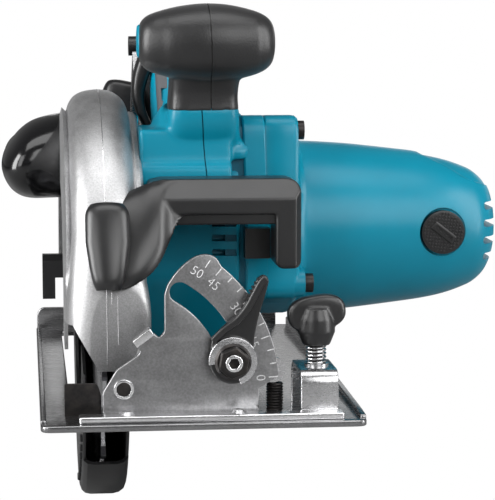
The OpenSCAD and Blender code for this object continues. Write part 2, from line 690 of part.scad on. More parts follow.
base_plate();
angular_plate();
rear_support();
base_rivets();
bevel_pivot_pins();
stop_screw();
ring_screw();
fence_bracket();
clamp_knob();
clamp_spring();
front_bracket();
rear_bracket();
depth_guide();
depth_pivot_pin();
bevel_bolt();
c_ring();
bevel_lever();
bevel_nut();
blade_case();
case_screws();
dust_nozzle();
air_hood();
gear_housing();
bearing_cover();
motor_housing();
housing_screws();
spindle_bearings();
motor_bearings();
field_core();
field_coils();
brush_holders();
carbon_brushes();
brush_caps();
handle_left();
handle_right();
front_grip_left();
front_grip_right();
handle_screws();
switch_unit();
cord_gland();
depth_bolt();
depth_lever();
lower_guard();
guard_lever();
guard_ring();
guard_spring();
spindle();
drive_gear();
inner_flange();
blade();
carbide_tips();
outer_flange();
blade_bolt();
armature_shaft();
armature_core();
commutator();
cooling_fan();
trigger();
lock_off_button();
shaft_lock();
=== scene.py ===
"""Circular saw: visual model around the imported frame."""
import math
from contextlib import contextmanager

import bmesh
import bpy
from mathutils import Matrix, Vector

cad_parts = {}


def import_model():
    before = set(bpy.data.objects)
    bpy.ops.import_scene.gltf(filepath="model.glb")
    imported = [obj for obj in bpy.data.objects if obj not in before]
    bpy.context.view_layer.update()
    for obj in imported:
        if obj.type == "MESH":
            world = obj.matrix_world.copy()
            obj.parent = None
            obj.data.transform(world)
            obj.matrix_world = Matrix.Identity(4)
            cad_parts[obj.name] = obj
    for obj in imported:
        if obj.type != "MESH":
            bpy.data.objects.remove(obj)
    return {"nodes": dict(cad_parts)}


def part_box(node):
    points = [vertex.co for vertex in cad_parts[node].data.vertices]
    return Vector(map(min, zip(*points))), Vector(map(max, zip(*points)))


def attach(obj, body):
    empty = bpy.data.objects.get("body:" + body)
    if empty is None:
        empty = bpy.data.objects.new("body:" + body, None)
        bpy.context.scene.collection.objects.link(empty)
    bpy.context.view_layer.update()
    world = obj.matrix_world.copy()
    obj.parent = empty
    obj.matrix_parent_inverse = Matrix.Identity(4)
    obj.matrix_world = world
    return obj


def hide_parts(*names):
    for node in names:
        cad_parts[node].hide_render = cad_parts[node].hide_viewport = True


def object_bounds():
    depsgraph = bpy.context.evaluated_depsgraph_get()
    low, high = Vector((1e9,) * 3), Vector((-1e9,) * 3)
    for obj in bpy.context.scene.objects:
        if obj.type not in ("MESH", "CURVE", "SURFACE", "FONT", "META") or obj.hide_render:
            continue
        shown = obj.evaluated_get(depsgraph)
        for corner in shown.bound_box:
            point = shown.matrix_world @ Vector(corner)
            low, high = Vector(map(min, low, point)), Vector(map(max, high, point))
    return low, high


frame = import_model()
cad_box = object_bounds()
MM = 0.001


def middle(node):
    """Centre of a CAD node's box."""
    lo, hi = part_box(node)
    return (lo + hi) / 2


# Places below are millimetres from the blade's plane, and come from the frame where it has them.
BLADE_X = middle("blade").x
ARBOR_Z = middle("blade").z / MM
MOTOR_Z = middle("armature_core").z / MM
BOLT = ((middle("c_ring").x - BLADE_X) / MM, middle("c_ring").z / MM)
KNOB = ((middle("clamp_spring").x - BLADE_X) / MM, middle("clamp_spring").y / MM)
FLOOR_Z = cad_box[0].z / MM
PLATE_Y = -123
BEVEL = (7.2, 16)
DEPTH_PIVOT = (0, -110, 26)


def V(x, y, z):
    """A point from millimetres: x from the blade's plane, y rearwards, z over the sole."""
    return Vector((BLADE_X + x * MM, y * MM, z * MM))


# ------------------------------------------------------------------ node helpers
class Nodes:
    """Short calls for building one material's node tree."""

    def __init__(self, name):
        self.mat = bpy.data.materials.new(name)
        self.mat.use_nodes = True
        self.tree = self.mat.node_tree
        self.shader = self.tree.nodes["Principled BSDF"]
        self.coord = self.tree.nodes.new("ShaderNodeTexCoord").outputs["Object"]

    def add(self, kind, **inputs):
        """A node of some kind, its sockets given by name as values or as other nodes' outputs."""
        node = self.tree.nodes.new("ShaderNode" + kind)
        for key, value in inputs.items():
            self.feed(node.inputs[key.replace("_", " ")], value)
        return node

    def stretch(self, x, y, z):
        return self.add("Mapping", Vector=self.coord, Scale=(x, y, z)).outputs["Vector"]

    def noise(self, scale, detail=3.0, rough=0.5, vector=None):
        at = vector or self.coord
        return self.add("TexNoise", Vector=at, Scale=scale, Detail=detail, Roughness=rough).outputs["Fac"]

    def ramp(self, value, low, high, at=(0.3, 0.7)):
        """A colour between two, by a value."""
        node = self.add("ValToRGB", Fac=value)
        node.color_ramp.elements[0].position, node.color_ramp.elements[1].position = at
        node.color_ramp.elements[0].color = low
        node.color_ramp.elements[1].color = high
        return node.outputs["Color"]

    def span(self, value, low, high):
        """A number between two, by a value."""
        return self.add("MapRange", Value=value, To_Min=low, To_Max=high).outputs["Result"]

    def bump(self, height, depth, strength=1.0, normal=None):
        node = self.add("Bump", Height=height, Strength=strength, Distance=depth)
        if normal:
            self.tree.links.new(normal, node.inputs["Normal"])
        return node.outputs["Normal"]

    def maths(self, kind, *values):
        node = self.tree.nodes.new("ShaderNodeMath")
        node.operation = kind
        for socket, value in zip(node.inputs, values):
            self.feed(socket, value)
        return node.outputs[0]

    def feed(self, socket, value):
        if isinstance(value, bpy.types.NodeSocket):
            self.tree.links.new(value, socket)
        else:
            socket.default_value = value

    def put(self, name, value):
        self.feed(self.shader.inputs[name], value)

    def source(self, name):
        """The output that feeds one of the shader's sockets now."""
        return self.shader.inputs[name].links[0].from_socket


def tone(rgb, gain):
    """A colour made lighter or darker, with its alpha."""
    return (rgb[0] * gain, rgb[1] * gain, rgb[2] * gain, 1)


def plastic(name, rgb, rough=0.35, grain=2600, depth=0.00003, coat=0.0, vary=0.06, specular=0.5):
    """Moulded plastic: fine spark-eroded grain, slight colour drift and handling smears in the gloss."""
    n = Nodes(name)
    drift = n.noise(38, 4)
    n.put("Base Color", n.ramp(drift, tone(rgb, 1 - vary), tone(rgb, 1 + vary)))
    smear = n.noise(95, 5, 0.62)
    n.put("Roughness", n.span(smear, rough - 0.06, rough + 0.06))
    n.put("Normal", n.bump(n.noise(grain, 2), depth, 0.6))
    n.put("Specular IOR Level", specular)
    if coat:
        n.put("Coat Weight", coat)
        n.put("Coat Roughness", 0.12)
    return n.mat


def rubber(name, rgb):
    """Soft-touch overmould: matte pebble grain with dusty high spots."""
    n = Nodes(name)
    pebble = n.add("TexVoronoi", Vector=n.coord, Scale=1150.0)
    n.put("Base Color", n.ramp(n.noise(60, 4), tone(rgb, 0.85), tone(rgb, 1.25)))
    n.put("Roughness", n.span(n.noise(140, 4), 0.33, 0.43))
    n.put("Specular IOR Level", 0.55)
    fine = n.bump(n.noise(4200, 2), 0.00002, 0.5)
    n.put("Normal", n.bump(pebble.outputs["Distance"], 0.00007, 0.55, fine))
    n.put("Sheen Weight", 0.12)
    n.put("Sheen Roughness", 0.4)
    return n.mat


def cast_nodes(name, rgb, rough=0.42, scale=950, depth=0.00009, metal=1.0):
    """Blasted die casting: small pits, faint flow marks and polished high spots."""
    n = Nodes(name)
    flow = n.add("Mix", Factor=0.6, A=n.noise(34, 5, 0.6), B=n.noise(1500, 3, 0.7))
    n.put("Base Color", n.ramp(flow.outputs["Result"], tone(rgb, 0.72), tone(rgb, 1.2), (0.35, 0.65)))
    n.put("Metallic", metal)
    n.put("Roughness", n.span(n.noise(210, 5, 0.6), rough - 0.09, rough + 0.1))
    coarse = n.bump(n.noise(scale / 6, 3), depth * 1.6, 0.35)
    n.put("Normal", n.bump(n.noise(scale, 4, 0.65), depth, 0.7, coarse))
    return n


def cast(*look, **more):
    """The die casting's material."""
    return cast_nodes(*look, **more).mat


def cast_with_nose(name, rgb, sandy):
    """The case casting, whose front face has a darker sandy panel of rounded oval shape."""
    n = cast_nodes(name, rgb, 0.46, 800, 0.00016)
    x, y, z = n.add("SeparateXYZ", Vector=n.coord).outputs
    centre = V(*NOSE_CENTRE)
    squares = []
    for value, centre_value, size in ((x, centre.x, NOSE_SIZE[0]), (z, centre.z, NOSE_SIZE[1])):
        offset = n.maths("DIVIDE", n.maths("SUBTRACT", value, centre_value), size * MM)
        squares.append(n.maths("POWER", n.maths("ABSOLUTE", offset), NOSE_POWER))
    distance = n.maths("POWER", n.maths("ADD", *squares), NOSE_ROOT)
    inside = n.add("MapRange", Value=distance, From_Min=1.03, From_Max=0.96).outputs["Result"]
    mask = n.maths("MULTIPLY", inside, n.maths("LESS_THAN", y, centre.y))
    tint = n.tree.nodes.new("ShaderNodeMix")
    tint.data_type = "RGBA"
    tint.blend_type = "MULTIPLY"
    n.feed(tint.inputs[0], mask)
    n.feed(tint.inputs[6], n.source("Base Color"))
    n.feed(tint.inputs[7], (*sandy, 1))
    n.put("Base Color", tint.outputs[2])
    rough = n.add("Mix", Factor=mask, A=n.source("Roughness"), B=0.6)
    n.put("Roughness", rough.outputs["Result"])
    return n.mat


def sheet(name, rgb, rough=0.3, grain=(40, 40, 2600), depth=0.00003, patches=0.1, speckle=900):
    """Rolled or ground steel: fine parallel scratches, oily patches and a fine mottle."""
    n = Nodes(name)
    line = n.noise(1.0, 6, 0.7, n.stretch(*grain))
    mottle = n.add("Mix", Factor=0.55, A=n.noise(48, 5, 0.6), B=n.noise(speckle, 4, 0.7))
    dark, light = tone(rgb, 1 - patches * 2), tone(rgb, 1 + patches)
    n.put("Base Color", n.ramp(mottle.outputs["Result"], dark, light, (0.36, 0.64)))
    n.put("Metallic", 1.0)
    n.put("Roughness", n.span(line, rough - 0.1, rough + 0.14))
    n.put("Normal", n.bump(line, depth, 0.5))
    return n.mat


def oxide(name, rgb=(0.022, 0.022, 0.024), rough=0.38):
    """Black oxide steel with brown hints and bright rubbed spots."""
    n = Nodes(name)
    n.put("Base Color", n.ramp(n.noise(180, 5, 0.6), tone(rgb, 0.8), (0.05, 0.045, 0.042, 1)))
    n.put("Metallic", 0.85)
    n.put("Roughness", n.span(n.noise(420, 4), rough - 0.08, rough + 0.12))
    n.put("Normal", n.bump(n.noise(1800, 3), 0.00003, 0.5))
    return n.mat


def winding(name):
    """Enamelled copper wire laid in turns."""
    n = Nodes(name)
    wave = n.add("TexWave", Vector=n.coord, Scale=420.0, Distortion=0.6)
    n.put("Base Color", n.ramp(wave.outputs["Fac"], (0.2, 0.05, 0.02, 1), (0.75, 0.3, 0.1, 1)))
    n.put("Metallic", 0.9)
    n.put("Roughness", 0.32)
    n.put("Normal", n.bump(wave.outputs["Fac"], 0.0003, 0.7))
    return n.mat


TEAL = plastic("teal_plastic", (0.0, 0.188, 0.278), 0.32, specular=0.3)
TEAL_DARK = plastic("teal_shadow_plastic", (0.0, 0.09, 0.14), 0.42, specular=0.3)
BLACK = plastic("black_plastic", (0.005, 0.005, 0.0055), 0.34, grain=2100, depth=0.00005, specular=0.6)
FACE = plastic("satin_black_plastic", (0.0085, 0.0085, 0.009), 0.33, grain=1800, depth=0.00005, specular=0.6)
GLOSS = plastic("gloss_black_plastic", (0.003, 0.003, 0.0035), 0.17, depth=0.00001, coat=0.3, specular=0.45)
RUBBER = rubber("grip_rubber", (0.0075, 0.0075, 0.008))
GREY = plastic("grey_plastic", (0.06, 0.062, 0.068), 0.4)
# Black plastic made light grey: a painted highlight for the sheen on the guard's nose pad.
BLACK_PAINTED_HIGHLIGHT = plastic("black_plastic_painted_highlight", (0.3, 0.3, 0.305), 0.42, grain=1500, depth=0.0001, vary=0.2)
CAST = cast("blasted_aluminium", (0.5, 0.5, 0.505), 0.46, 800, 0.00016)
NOSE_CENTRE = (7, -84, 28)
NOSE_SIZE = (14, 31)
NOSE_POWER = 2.6
NOSE_ROOT = 0.4
CAST_NOSE = cast_with_nose("case_aluminium", (0.5, 0.5, 0.505), (0.62, 0.62, 0.62))
# Bright polished steel for cut edges; on the quadrant's foot and bend and on the case ridges it is a painted
# highlight.
BRIGHT_EDGE_AND_HIGHLIGHT = sheet("polished_edge_and_painted_highlight", (0.88, 0.88, 0.89), 0.2, (300, 300, 300))
BASE = sheet("base_sheet", (0.29, 0.29, 0.295), 0.24, (28, 1500, 900))
BASE_EDGE = cast("sheared_edge", (0.82, 0.82, 0.825), 0.4, 420, 0.0007, metal=0.3)
QUADRANT = sheet("quadrant_sheet", (0.32, 0.32, 0.325), 0.34, (1500, 90, 700), patches=0.15)
STEEL = sheet("plain_steel", (0.62, 0.62, 0.63), 0.24, (260, 260, 1400))
GROUND = sheet("ground_steel", (0.55, 0.55, 0.57), 0.22, (900, 90, 90))
BLADE = sheet("blade_steel", (0.7, 0.7, 0.72), 0.2, (700, 1500, 60))
TIP = cast("carbide", (0.32, 0.32, 0.34), 0.35, 2500, 0.00003)
SCREW = oxide("black_oxide")
ENGRAVED = cast("bright_engraving", (0.8, 0.8, 0.81), 0.4, metal=0.3)
BRASS = sheet("brass", (0.72, 0.5, 0.2), 0.3, (300, 300, 1200))
COPPER = winding("copper_winding")
CARBON = plastic("carbon", (0.03, 0.03, 0.032), 0.6, grain=1500, depth=0.0001)


# ------------------------------------------------------------------ mesh helpers
def finish_piece(ob, body, mats, replaces=(), angle=30):
    """Dress a piece, set it riding on its body, and hide the CAD nodes it replaces."""
    ob.data.materials.clear()
    for mat in mats:
        ob.data.materials.append(mat)
    ob.data.polygons.foreach_set("use_smooth", [True] * len(ob.data.polygons))
    ob.data.set_sharp_from_angle(angle=math.radians(angle))
    ob.data.update()
    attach(ob, body)
    if replaces:
        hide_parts(*replaces)


def teal_piece(ob, replaces=(), angle=32):
    finish_piece(ob, "saw_head", [TEAL], replaces, angle)


def black_piece(ob, mat, replaces=(), angle=40):
    finish_piece(ob, "saw_head", [mat], replaces, angle)


def rubber_piece(ob, mat, replaces=(), angle=45):
    finish_piece(ob, "saw_head", [mat], replaces, angle)


def linked(name, data):
    """A new object in the scene around a mesh, curve, light or camera."""
    ob = bpy.data.objects.new(name, data)
    bpy.context.collection.objects.link(ob)
    return ob


@contextmanager
def editing(mesh):
    """Open a mesh for bmesh operations, and write it back."""
    bm = bmesh.new()
    bm.from_mesh(mesh)
    yield bm
    bm.to_mesh(mesh)
    bm.free()


def shape(name, points, faces):
    """A loose mesh object from millimetre points, with its normals outwards."""
    mesh = bpy.data.meshes.new(name)
    mesh.from_pydata([V(*p) for p in points], [], faces)
    with editing(mesh) as bm:
        bmesh.ops.recalc_face_normals(bm, faces=bm.faces)
    return linked(name, mesh)


def loft(name, rings, wrap=False):
    """Skin over rings of the same number of points; ends are closed unless the rings wrap round."""
    count = len(rings[0])
    points = [p for ring in rings for p in ring]
    faces = []
    last = len(rings) if wrap else len(rings) - 1
    for i in range(last):
        j = (i + 1) % len(rings)
        for k in range(count):
            m = (k + 1) % count
            faces.append((i * count + k, i * count + m, j * count + m, j * count + k))
    if not wrap:
        faces.append(tuple(range(count)))
        faces.append(tuple((len(rings) - 1) * count + k for k in range(count)))
    return shape(name, points, faces)


def oval(a, b, power=2.0, count=32):
    """Superellipse points; power 2 is an ellipse and larger powers are squarer."""
    points = []
    for k in range(count):
        t = 2 * math.pi * k / count
        c, s = math.cos(t), math.sin(t)
        wide = math.copysign(abs(c) ** (2 / power), c)
        high = math.copysign(abs(s) ** (2 / power), s)
        points.append((a * wide, b * high))
    return points


def catmull(knots, steps):
    """A smooth run of values through the knots, which are tuples of any length."""
    out = []
    for i in range(len(knots) - 1):
        p = [knots[max(0, min(len(knots) - 1, i + d))] for d in (-1, 0, 1, 2)]
        for s in range(steps):
            t = s / steps
            row = []
            for a, b, c, d in zip(*p):
                row.append(0.5 * (2 * b + (c - a) * t + (2 * a - 5 * b + 4 * c - d) * t * t
                                  + (3 * b - a - 3 * c + d) * t ** 3))
            out.append(tuple(row))
    out.append(tuple(knots[-1]))
    return out


def limb(name, knots, power=2.4, steps=5, side=Vector((1, 0, 0)), dome=0.5):
    """A rounded arm through knots of (x, y, z, half width along side, half thickness), with domed ends."""
    run = catmull(knots, steps)
    centres = [Vector(k[:3]) for k in run]
    rings = []
    for i, k in enumerate(run):
        along = centres[min(i + 1, len(run) - 1)] - centres[max(i - 1, 0)]
        along.normalize()
        across = (side - along * side.dot(along)).normalized()
        up = along.cross(across)
        ring = [(a, b) for a, b in oval(k[3], k[4], power)]
        if i == 0 or i == len(run) - 1:
            out = -along if i == 0 else along
            layers = []
            for turn in range(0, 90, 15):
                c, s = math.cos(math.radians(turn)), math.sin(math.radians(turn))
                middle_at = centres[i] + out * (s * min(k[3], k[4]) * dome)
                layers.append([tuple(middle_at + across * a * c + up * b * c) for a, b in ring])
            rings += layers[::-1] if i == 0 else layers
        else:
            rings.append([tuple(centres[i] + across * a + up * b) for a, b in ring])
    return loft(name, rings)


def block(name, lo, hi, edge):
    """A box with rounded edges."""
    corners = ((lo[0], lo[1]), (hi[0], lo[1]), (hi[0], hi[1]), (lo[0], hi[1]))
    points = [(x, y, z) for z in (lo[2], hi[2]) for x, y in corners]
    faces = [(0, 1, 2, 3), (4, 5, 6, 7), (0, 1, 5, 4), (1, 2, 6, 5), (2, 3, 7, 6), (3, 0, 4, 7)]
    ob = shape(name, points, faces)
    if edge:
        with editing(ob.data) as bm:
            bmesh.ops.bevel(bm, geom=bm.edges[:], offset=edge * MM, segments=4, profile=0.6, affect="EDGES")
    return ob


def revolve(name, profile, centre, axis="x", start=0.0, turn=360.0, count=72):
    """Turn a closed profile of (radius, along) about an axis through centre."""
    rings = []
    full = abs(turn) >= 360
    for i in range(count if full else count + 1):
        t = math.radians(start + turn * i / count)
        c, s = math.cos(t), math.sin(t)
        ring = []
        for r, a in profile:
            if axis == "x":
                ring.append((centre[0] + a, centre[1] + r * c, centre[2] + r * s))
            elif axis == "y":
                ring.append((centre[0] + r * c, centre[1] + a, centre[2] + r * s))
            else:
                ring.append((centre[0] + r * c, centre[1] + r * s, centre[2] + a))
        rings.append(ring)
    return loft(name, rings, wrap=full)


def solid(profile, small=0.01):
    """Close a profile of (radius, along) at the axis, so that it turns into a solid."""
    return [(small, profile[0][1])] + list(profile) + [(small, profile[-1][1])]


def bake(ob):
    """Apply the modifiers."""
    graph = bpy.context.evaluated_depsgraph_get()
    mesh = bpy.data.meshes.new_from_object(ob.evaluated_get(graph))
    old = ob.data
    ob.modifiers.clear()
    ob.data = mesh
    bpy.data.meshes.remove(old)
    return ob


def join(name, obs):
    """Gather several meshes into one object."""
    bm = bmesh.new()
    for ob in obs:
        mesh = ob.data
        bm.from_mesh(mesh)
        bpy.data.objects.remove(ob)
        bpy.data.meshes.remove(mesh)
    whole = bpy.data.meshes.new(name)
    bm.to_mesh(whole)
    bm.free()
    return linked(name, whole)


def fuse(name, obs, voxel=1.0, rounds=6, factor=0.5):
    """Melt overlapping solids into one smooth moulding."""
    ob = join(name, obs)
    mod = ob.modifiers.new("remesh", "REMESH")
    mod.mode = "VOXEL"
    mod.voxel_size = voxel * MM
    mod = ob.modifiers.new("smooth", "SMOOTH")
    mod.factor = factor
    mod.iterations = rounds
    return bake(ob)


def cut(ob, tool):
    """Take a solid away from an object."""
    mod = ob.modifiers.new("cut", "BOOLEAN")
    mod.operation = "DIFFERENCE"
    mod.solver = "EXACT"
    mod.object = tool
    bake(ob)
    bpy.data.objects.remove(tool)


def slice_mesh(mesh, at, normal, above=False, below=False):
    """Cut a mesh at a plane, drop the side above or below it, and close the cut."""
    with editing(mesh) as bm:
        whole = bm.verts[:] + bm.edges[:] + bm.faces[:]
        found = bmesh.ops.bisect_plane(bm, geom=whole, plane_co=at, plane_no=normal,
                                       clear_inner=below, clear_outer=above)
        rim = [e for e in found["geom_cut"] if isinstance(e, bmesh.types.BMEdge)]
        bmesh.ops.triangle_fill(bm, use_beauty=True, use_dissolve=False, edges=rim)
        bmesh.ops.recalc_face_normals(bm, faces=bm.faces)


def split(ob, name, at, normal, gap=0.45):
    """Cut a closed mesh in two with a shut-line gap; the new object is on the normal's side."""
    twin = linked(name, ob.data.copy())
    direction = Vector(normal).normalized()
    for half, side in ((ob, -1), (twin, 1)):
        edge = V(*at) + direction * side * gap / 2 * MM
        slice_mesh(half.data, edge, direction, above=side < 0, below=side > 0)
    return ob, twin


def shrink(ob, name, depth):
    """A copy of a closed mesh pulled inwards, which backs a shut line."""
    core = linked(name, ob.data.copy())
    normals = [v.normal.copy() for v in core.data.vertices]
    for v, n in zip(core.data.vertices, normals):
        v.co -= n * depth * MM
    return core


def turned(place, degrees):
    """Matrix that turns a piece made at the origin about y and moves it to its place."""
    turn = Matrix.Rotation(math.radians(degrees), 4, "Y")
    return Matrix.Translation(place) @ turn @ Matrix.Translation(-V(0, 0, 0))


PLANES = {
    "XZ": Matrix(((1, 0, 0), (0, 0, -1), (0, 1, 0))),
    "YZ": Matrix(((0, 0, 1), (1, 0, 0), (0, 1, 0))),
    "XY": Matrix(((1, 0, 0), (0, 1, 0), (0, 0, 1))),
}


def drawn(curve, matrix):
    """The mesh of a flat curve, moved to its place."""
    source = linked(curve.name, curve)
    graph = bpy.context.evaluated_depsgraph_get()
    mesh = bpy.data.meshes.new_from_object(source.evaluated_get(graph))
    bpy.data.objects.remove(source)
    mesh.transform(matrix)
    return mesh


def plate(name, outlines, near, far, plane="XZ", rim=0.35):
    """A sheet cut to outlines (the edge, then holes), with rounded edges; edge faces take slot 1."""
    curve = bpy.data.curves.new(name, "CURVE")
    curve.dimensions = "2D"
    curve.fill_mode = "BOTH"
    curve.extrude = (abs(far - near) / 2 - rim) * MM
    curve.bevel_depth = rim * MM
    curve.bevel_resolution = 2
    curve.offset = -rim * MM
    for line in outlines:
        spline = curve.splines.new("POLY")
        spline.points.add(len(line) - 1)
        for point, (a, b) in zip(spline.points, line):
            point.co = (a * MM, b * MM, 0, 1)
        spline.use_cyclic_u = True
    mid = (near + far) / 2
    place = {"XZ": V(0, mid, 0), "YZ": V(mid, 0, 0), "XY": V(0, 0, mid)}[plane]
    mesh = drawn(curve, Matrix.Translation(place) @ PLANES[plane].to_4x4())
    facing = PLANES[plane] @ Vector((0, 0, 1))
    with editing(mesh) as bm:
        bmesh.ops.remove_doubles(bm, verts=bm.verts, dist=0.00001)
        bmesh.ops.recalc_face_normals(bm, faces=bm.faces)
        for face in bm.faces:
            face.material_index = 0 if abs(face.normal.dot(facing)) > 0.9 else 1
    return linked(name, mesh)


def arc(r, a0, a1, count, centre=(0, 0)):
    """Points along an arc, angles in degrees."""
    out = []
    for i in range(count + 1):
        t = math.radians(a0 + (a1 - a0) * i / count)
        out.append((centre[0] + r * math.cos(t), centre[1] + r * math.sin(t)))
    return out


def rounded(points, radius, steps=4):
    """Round the corners of a closed outline; radius is one number or one for each corner."""
    out = []
    n = len(points)
    for i in range(n):
        r = radius[i] if isinstance(radius, (list, tuple)) else radius
        p, a, b = Vector(points[i]), Vector(points[i - 1]), Vector(points[(i + 1) % n])
        u, w = a - p, b - p
        reach = min(r, u.length * 0.45, w.length * 0.45)
        if reach < 0.05:
            out.append(tuple(p))
            continue
        start, end = p + u.normalized() * reach, p + w.normalized() * reach
        for s in range(steps + 1):
            t = s / steps
            out.append(tuple(start * (1 - t) ** 2 + p * 2 * t * (1 - t) + end * t * t))
    return out


# ------------------------------------------------------------------ motor
def hull_outline(circles, count=96):
    """Radius by angle of a taut belt round circles of (y, z, r), seen from the motor's axis."""
    dots = [(y + r * math.cos(t), z + r * math.sin(t)) for y, z, r in circles
            for t in [2 * math.pi * k / 24 for k in range(24)]]
    dots = sorted(set(dots))
    belt = []
    for order in (dots, dots[::-1]):
        chain = []
        for p in order:
            while len(chain) > 1 and ((chain[-1][0] - chain[-2][0]) * (p[1] - chain[-2][1])
                                      - (chain[-1][1] - chain[-2][1]) * (p[0] - chain[-2][0])) <= 0:
                chain.pop()
            chain.append(p)
        belt += chain[:-1]
    radii = []
    for k in range(count):
        t = 2 * math.pi * k / count
        c, s = math.cos(t), math.sin(t)
        best = 0
        for i in range(len(belt)):
            a, b = belt[i - 1], belt[i]
            dx, dy = b[0] - a[0], b[1] - a[1]
            det = c * dy - s * dx
            if abs(det) > 1e-9:
                reach = (a[0] * dy - a[1] * dx) / det
                along = (a[0] * s - a[1] * c) / det
                if reach > 0 and -1e-6 <= along <= 1 + 1e-6:
                    best = max(best, reach)
        radii.append(best)
    return radii


def belt_rings(stations, centre_z, lean=0.0):
    """Rings for a loft along x from stations of (x, radii); lean pushes the front side along x."""
    rings = []
    for x, radii in stations:
        ring = []
        for k, r in enumerate(radii):
            t = 2 * math.pi * k / len(radii)
            push = lean * max(0.0, -math.cos(t)) ** 2
            ring.append((x + push, r * math.cos(t), centre_z + r * math.sin(t)))
        rings.append(ring)
    return rings


def drawn_in(outline, *stations):
    """Stations of one outline from pairs of x and the depth it is drawn in by."""
    return [(x, [r - depth for r in outline]) for x, depth in stations]


def ease(t):
    """Smooth step from 0 to 1."""
    t = min(1.0, max(0.0, t))
    return t * t * (3 - 2 * t)


def between(table, x):
    """Straight-line reading of a table of (x, value)."""
    for (x0, v0), (x1, v1) in zip(table, table[1:]):
        if x <= x1:
            return v0 + (v1 - v0) * min(1, max(0, (x - x0) / (x1 - x0)))
    return table[-1][1]


FLANGE = [(-40, 51), (40, 46), (-45, -23), (46, -32)]
COUNT = 192
BRUSH_X = 169
STUD_PITCH = 1.55
MOTOR_PROFILE = [
    (100.5, 43.6), (104, 43.1), (112, 42.7), (125, 41.8), (138, 40.4), (150, 39), (162, 37.5), (171, 35.9),
    (178, 34.1), (184, 32), (189, 29.8), (193, 26.8), (195.5, 24), (197.2, 21), (198.4, 18), (199, 15),
    (199, 6)]
SCOOP_EDGE = [(160, 38), (174.5, 31), (183.5, 25), (199, 19.5)]


def motor_radii(x, radius):
    """Round section with the recessed air scoop on its upper end."""
    values = []
    for k in range(COUNT):
        height = radius * math.sin(2 * math.pi * k / COUNT)
        sunk = ease((height - between(SCOOP_EDGE, x)) / 1.3) * ease((x - 158) / 8)
        values.append(radius - 1.5 * sunk)
    return values


def motor():
    """Motor housing with its screwed flange, end notches and brush pockets, and the cover before it."""
    lugs = hull_outline([(y, z, 7.4) for y, z in FLANGE] + [(0, 0, 44)], COUNT)
    stations = drawn_in(lugs, (79.2, 1.4), (79.5, 0.5), (80.2, 0), (92.4, 0), (94.4, 0.4), (95.7, 1.7))
    for x, share in ((96.3, 0.42), (98, 0.1)):
        stations.append((x, [44 + share * max(0, r - 46) for r in lugs]))
    stations += [(x, motor_radii(x, r)) for x, r in catmull(MOTOR_PROFILE, 4)]
    shell = loft("motor_shell", belt_rings(stations, MOTOR_Z))
    for i, reach in ((-1.5, 7.6), (-0.5, 8.4), (0.5, 8.4), (1.5, 7.6)):
        z = MOTOR_Z - 1.2 + 8.5 * i
        cut(shell, block("notch", (199.6 - reach, -45, z - 1.85), (212, 45, z + 1.85), 1.75))
    for side in (-1, 1):
        lo, hi = sorted((side * 32.6, side * 60))
        ends = [(BRUSH_X, y, MOTOR_Z, 12, 12) for y in (lo, hi)]
        cut(shell, limb("pocket", ends, 2.0, 2, dome=0.01))
    teal_piece(shell, ["motor_housing"])
    lug = limb("flange_lug", [(90, -45, MOTOR_Z - 23, 7.2, 7.2), (98.6, -45, MOTOR_Z - 23, 7, 7)], 2.0, 2,
               side=Vector((0, 1, 0)), dome=0.06)
    teal_piece(lug)
    cover = drawn_in(lugs, (67.3, 1.6), (67.6, 0.6), (68.3, 0), (77.6, 0), (78.3, 0.6), (78.6, 1.6))
    teal_piece(loft("bearing_cover_shell", belt_rings(cover, MOTOR_Z, 2.6)), ["bearing_cover"])
    core = loft("flange_core", belt_rings(drawn_in(lugs, (60, 1.7), (84, 1.7)), MOTOR_Z))
    finish_piece(core, "saw_head", [TEAL_DARK], (), 32)


def brush_cap(name, side):
    """Screw-in cap with a waffle grip and a rimmed coin slot."""
    centre = V(BRUSH_X, side * 37.7, MOTOR_Z)
    lo, hi = sorted((side * 33.3, side * 37.3))
    near, far = sorted((side * 37.2, side * 38.0))
    parts = [limb("disc", [(BRUSH_X, y, MOTOR_Z, 10.7, 10.7) for y in (lo, hi)], 2.0, 2, dome=0.03)]
    a = math.radians(-8)
    studs = [(i * STUD_PITCH, j * STUD_PITCH) for i in range(-6, 7) for j in range(-6, 7)]
    for u, w in studs:
        if math.hypot(u, w) < 9.7:
            x, z = BRUSH_X + u * math.cos(a) - w * math.sin(a), MOTOR_Z + u * math.sin(a) + w * math.cos(a)
            parts.append(block("stud", (x - 0.45, near, z - 0.45), (x + 0.45, far, z + 0.45), 0.15))
    rim = block("rim", (-6.6, -0.9, -2.3), (6.6, 0.9, 2.3), 0.85)
    cut(rim, block("slot", (-5, -2.6, -0.85), (5, 2.6, 0.85), 0.3))
    base = block("slot_floor", (-5.4, -0.1, -1.2), (5.4, 0.1, 1.2), 0)
    for ob in (rim, base):
        ob.data.transform(turned(centre, 38))
    black_piece(join(name, parts + [rim, base]), BLACK, ["brush_caps"], 30)


def gear_case():
    """Teal gear housing behind the quadrant, with its cooling slots."""
    rounds = [(0, ARBOR_Z - MOTOR_Z, 29.4), (0, 0, 38), (-36, 24, 12), (-40, -16, 10), (38, 20, 12)]
    outline = hull_outline(rounds)
    stations = drawn_in(
        outline, (19.5, 2), (20.6, 0.5), (22, 0), (52, 0), (64.5, -2), (66.2, -1.6), (66.9, 0))
    body = loft("gear_case", belt_rings(stations, MOTOR_Z))
    for z in (82, 75, 68):
        cut(body, block("vent", (53.5, -75, z - 1.6), (65.4, -44, z + 1.6), 0.9))
    teal_piece(body, ["gear_housing"])


# ------------------------------------------------------------------ grips
GRIP_Y = -56
GRIP_Z = 168.4
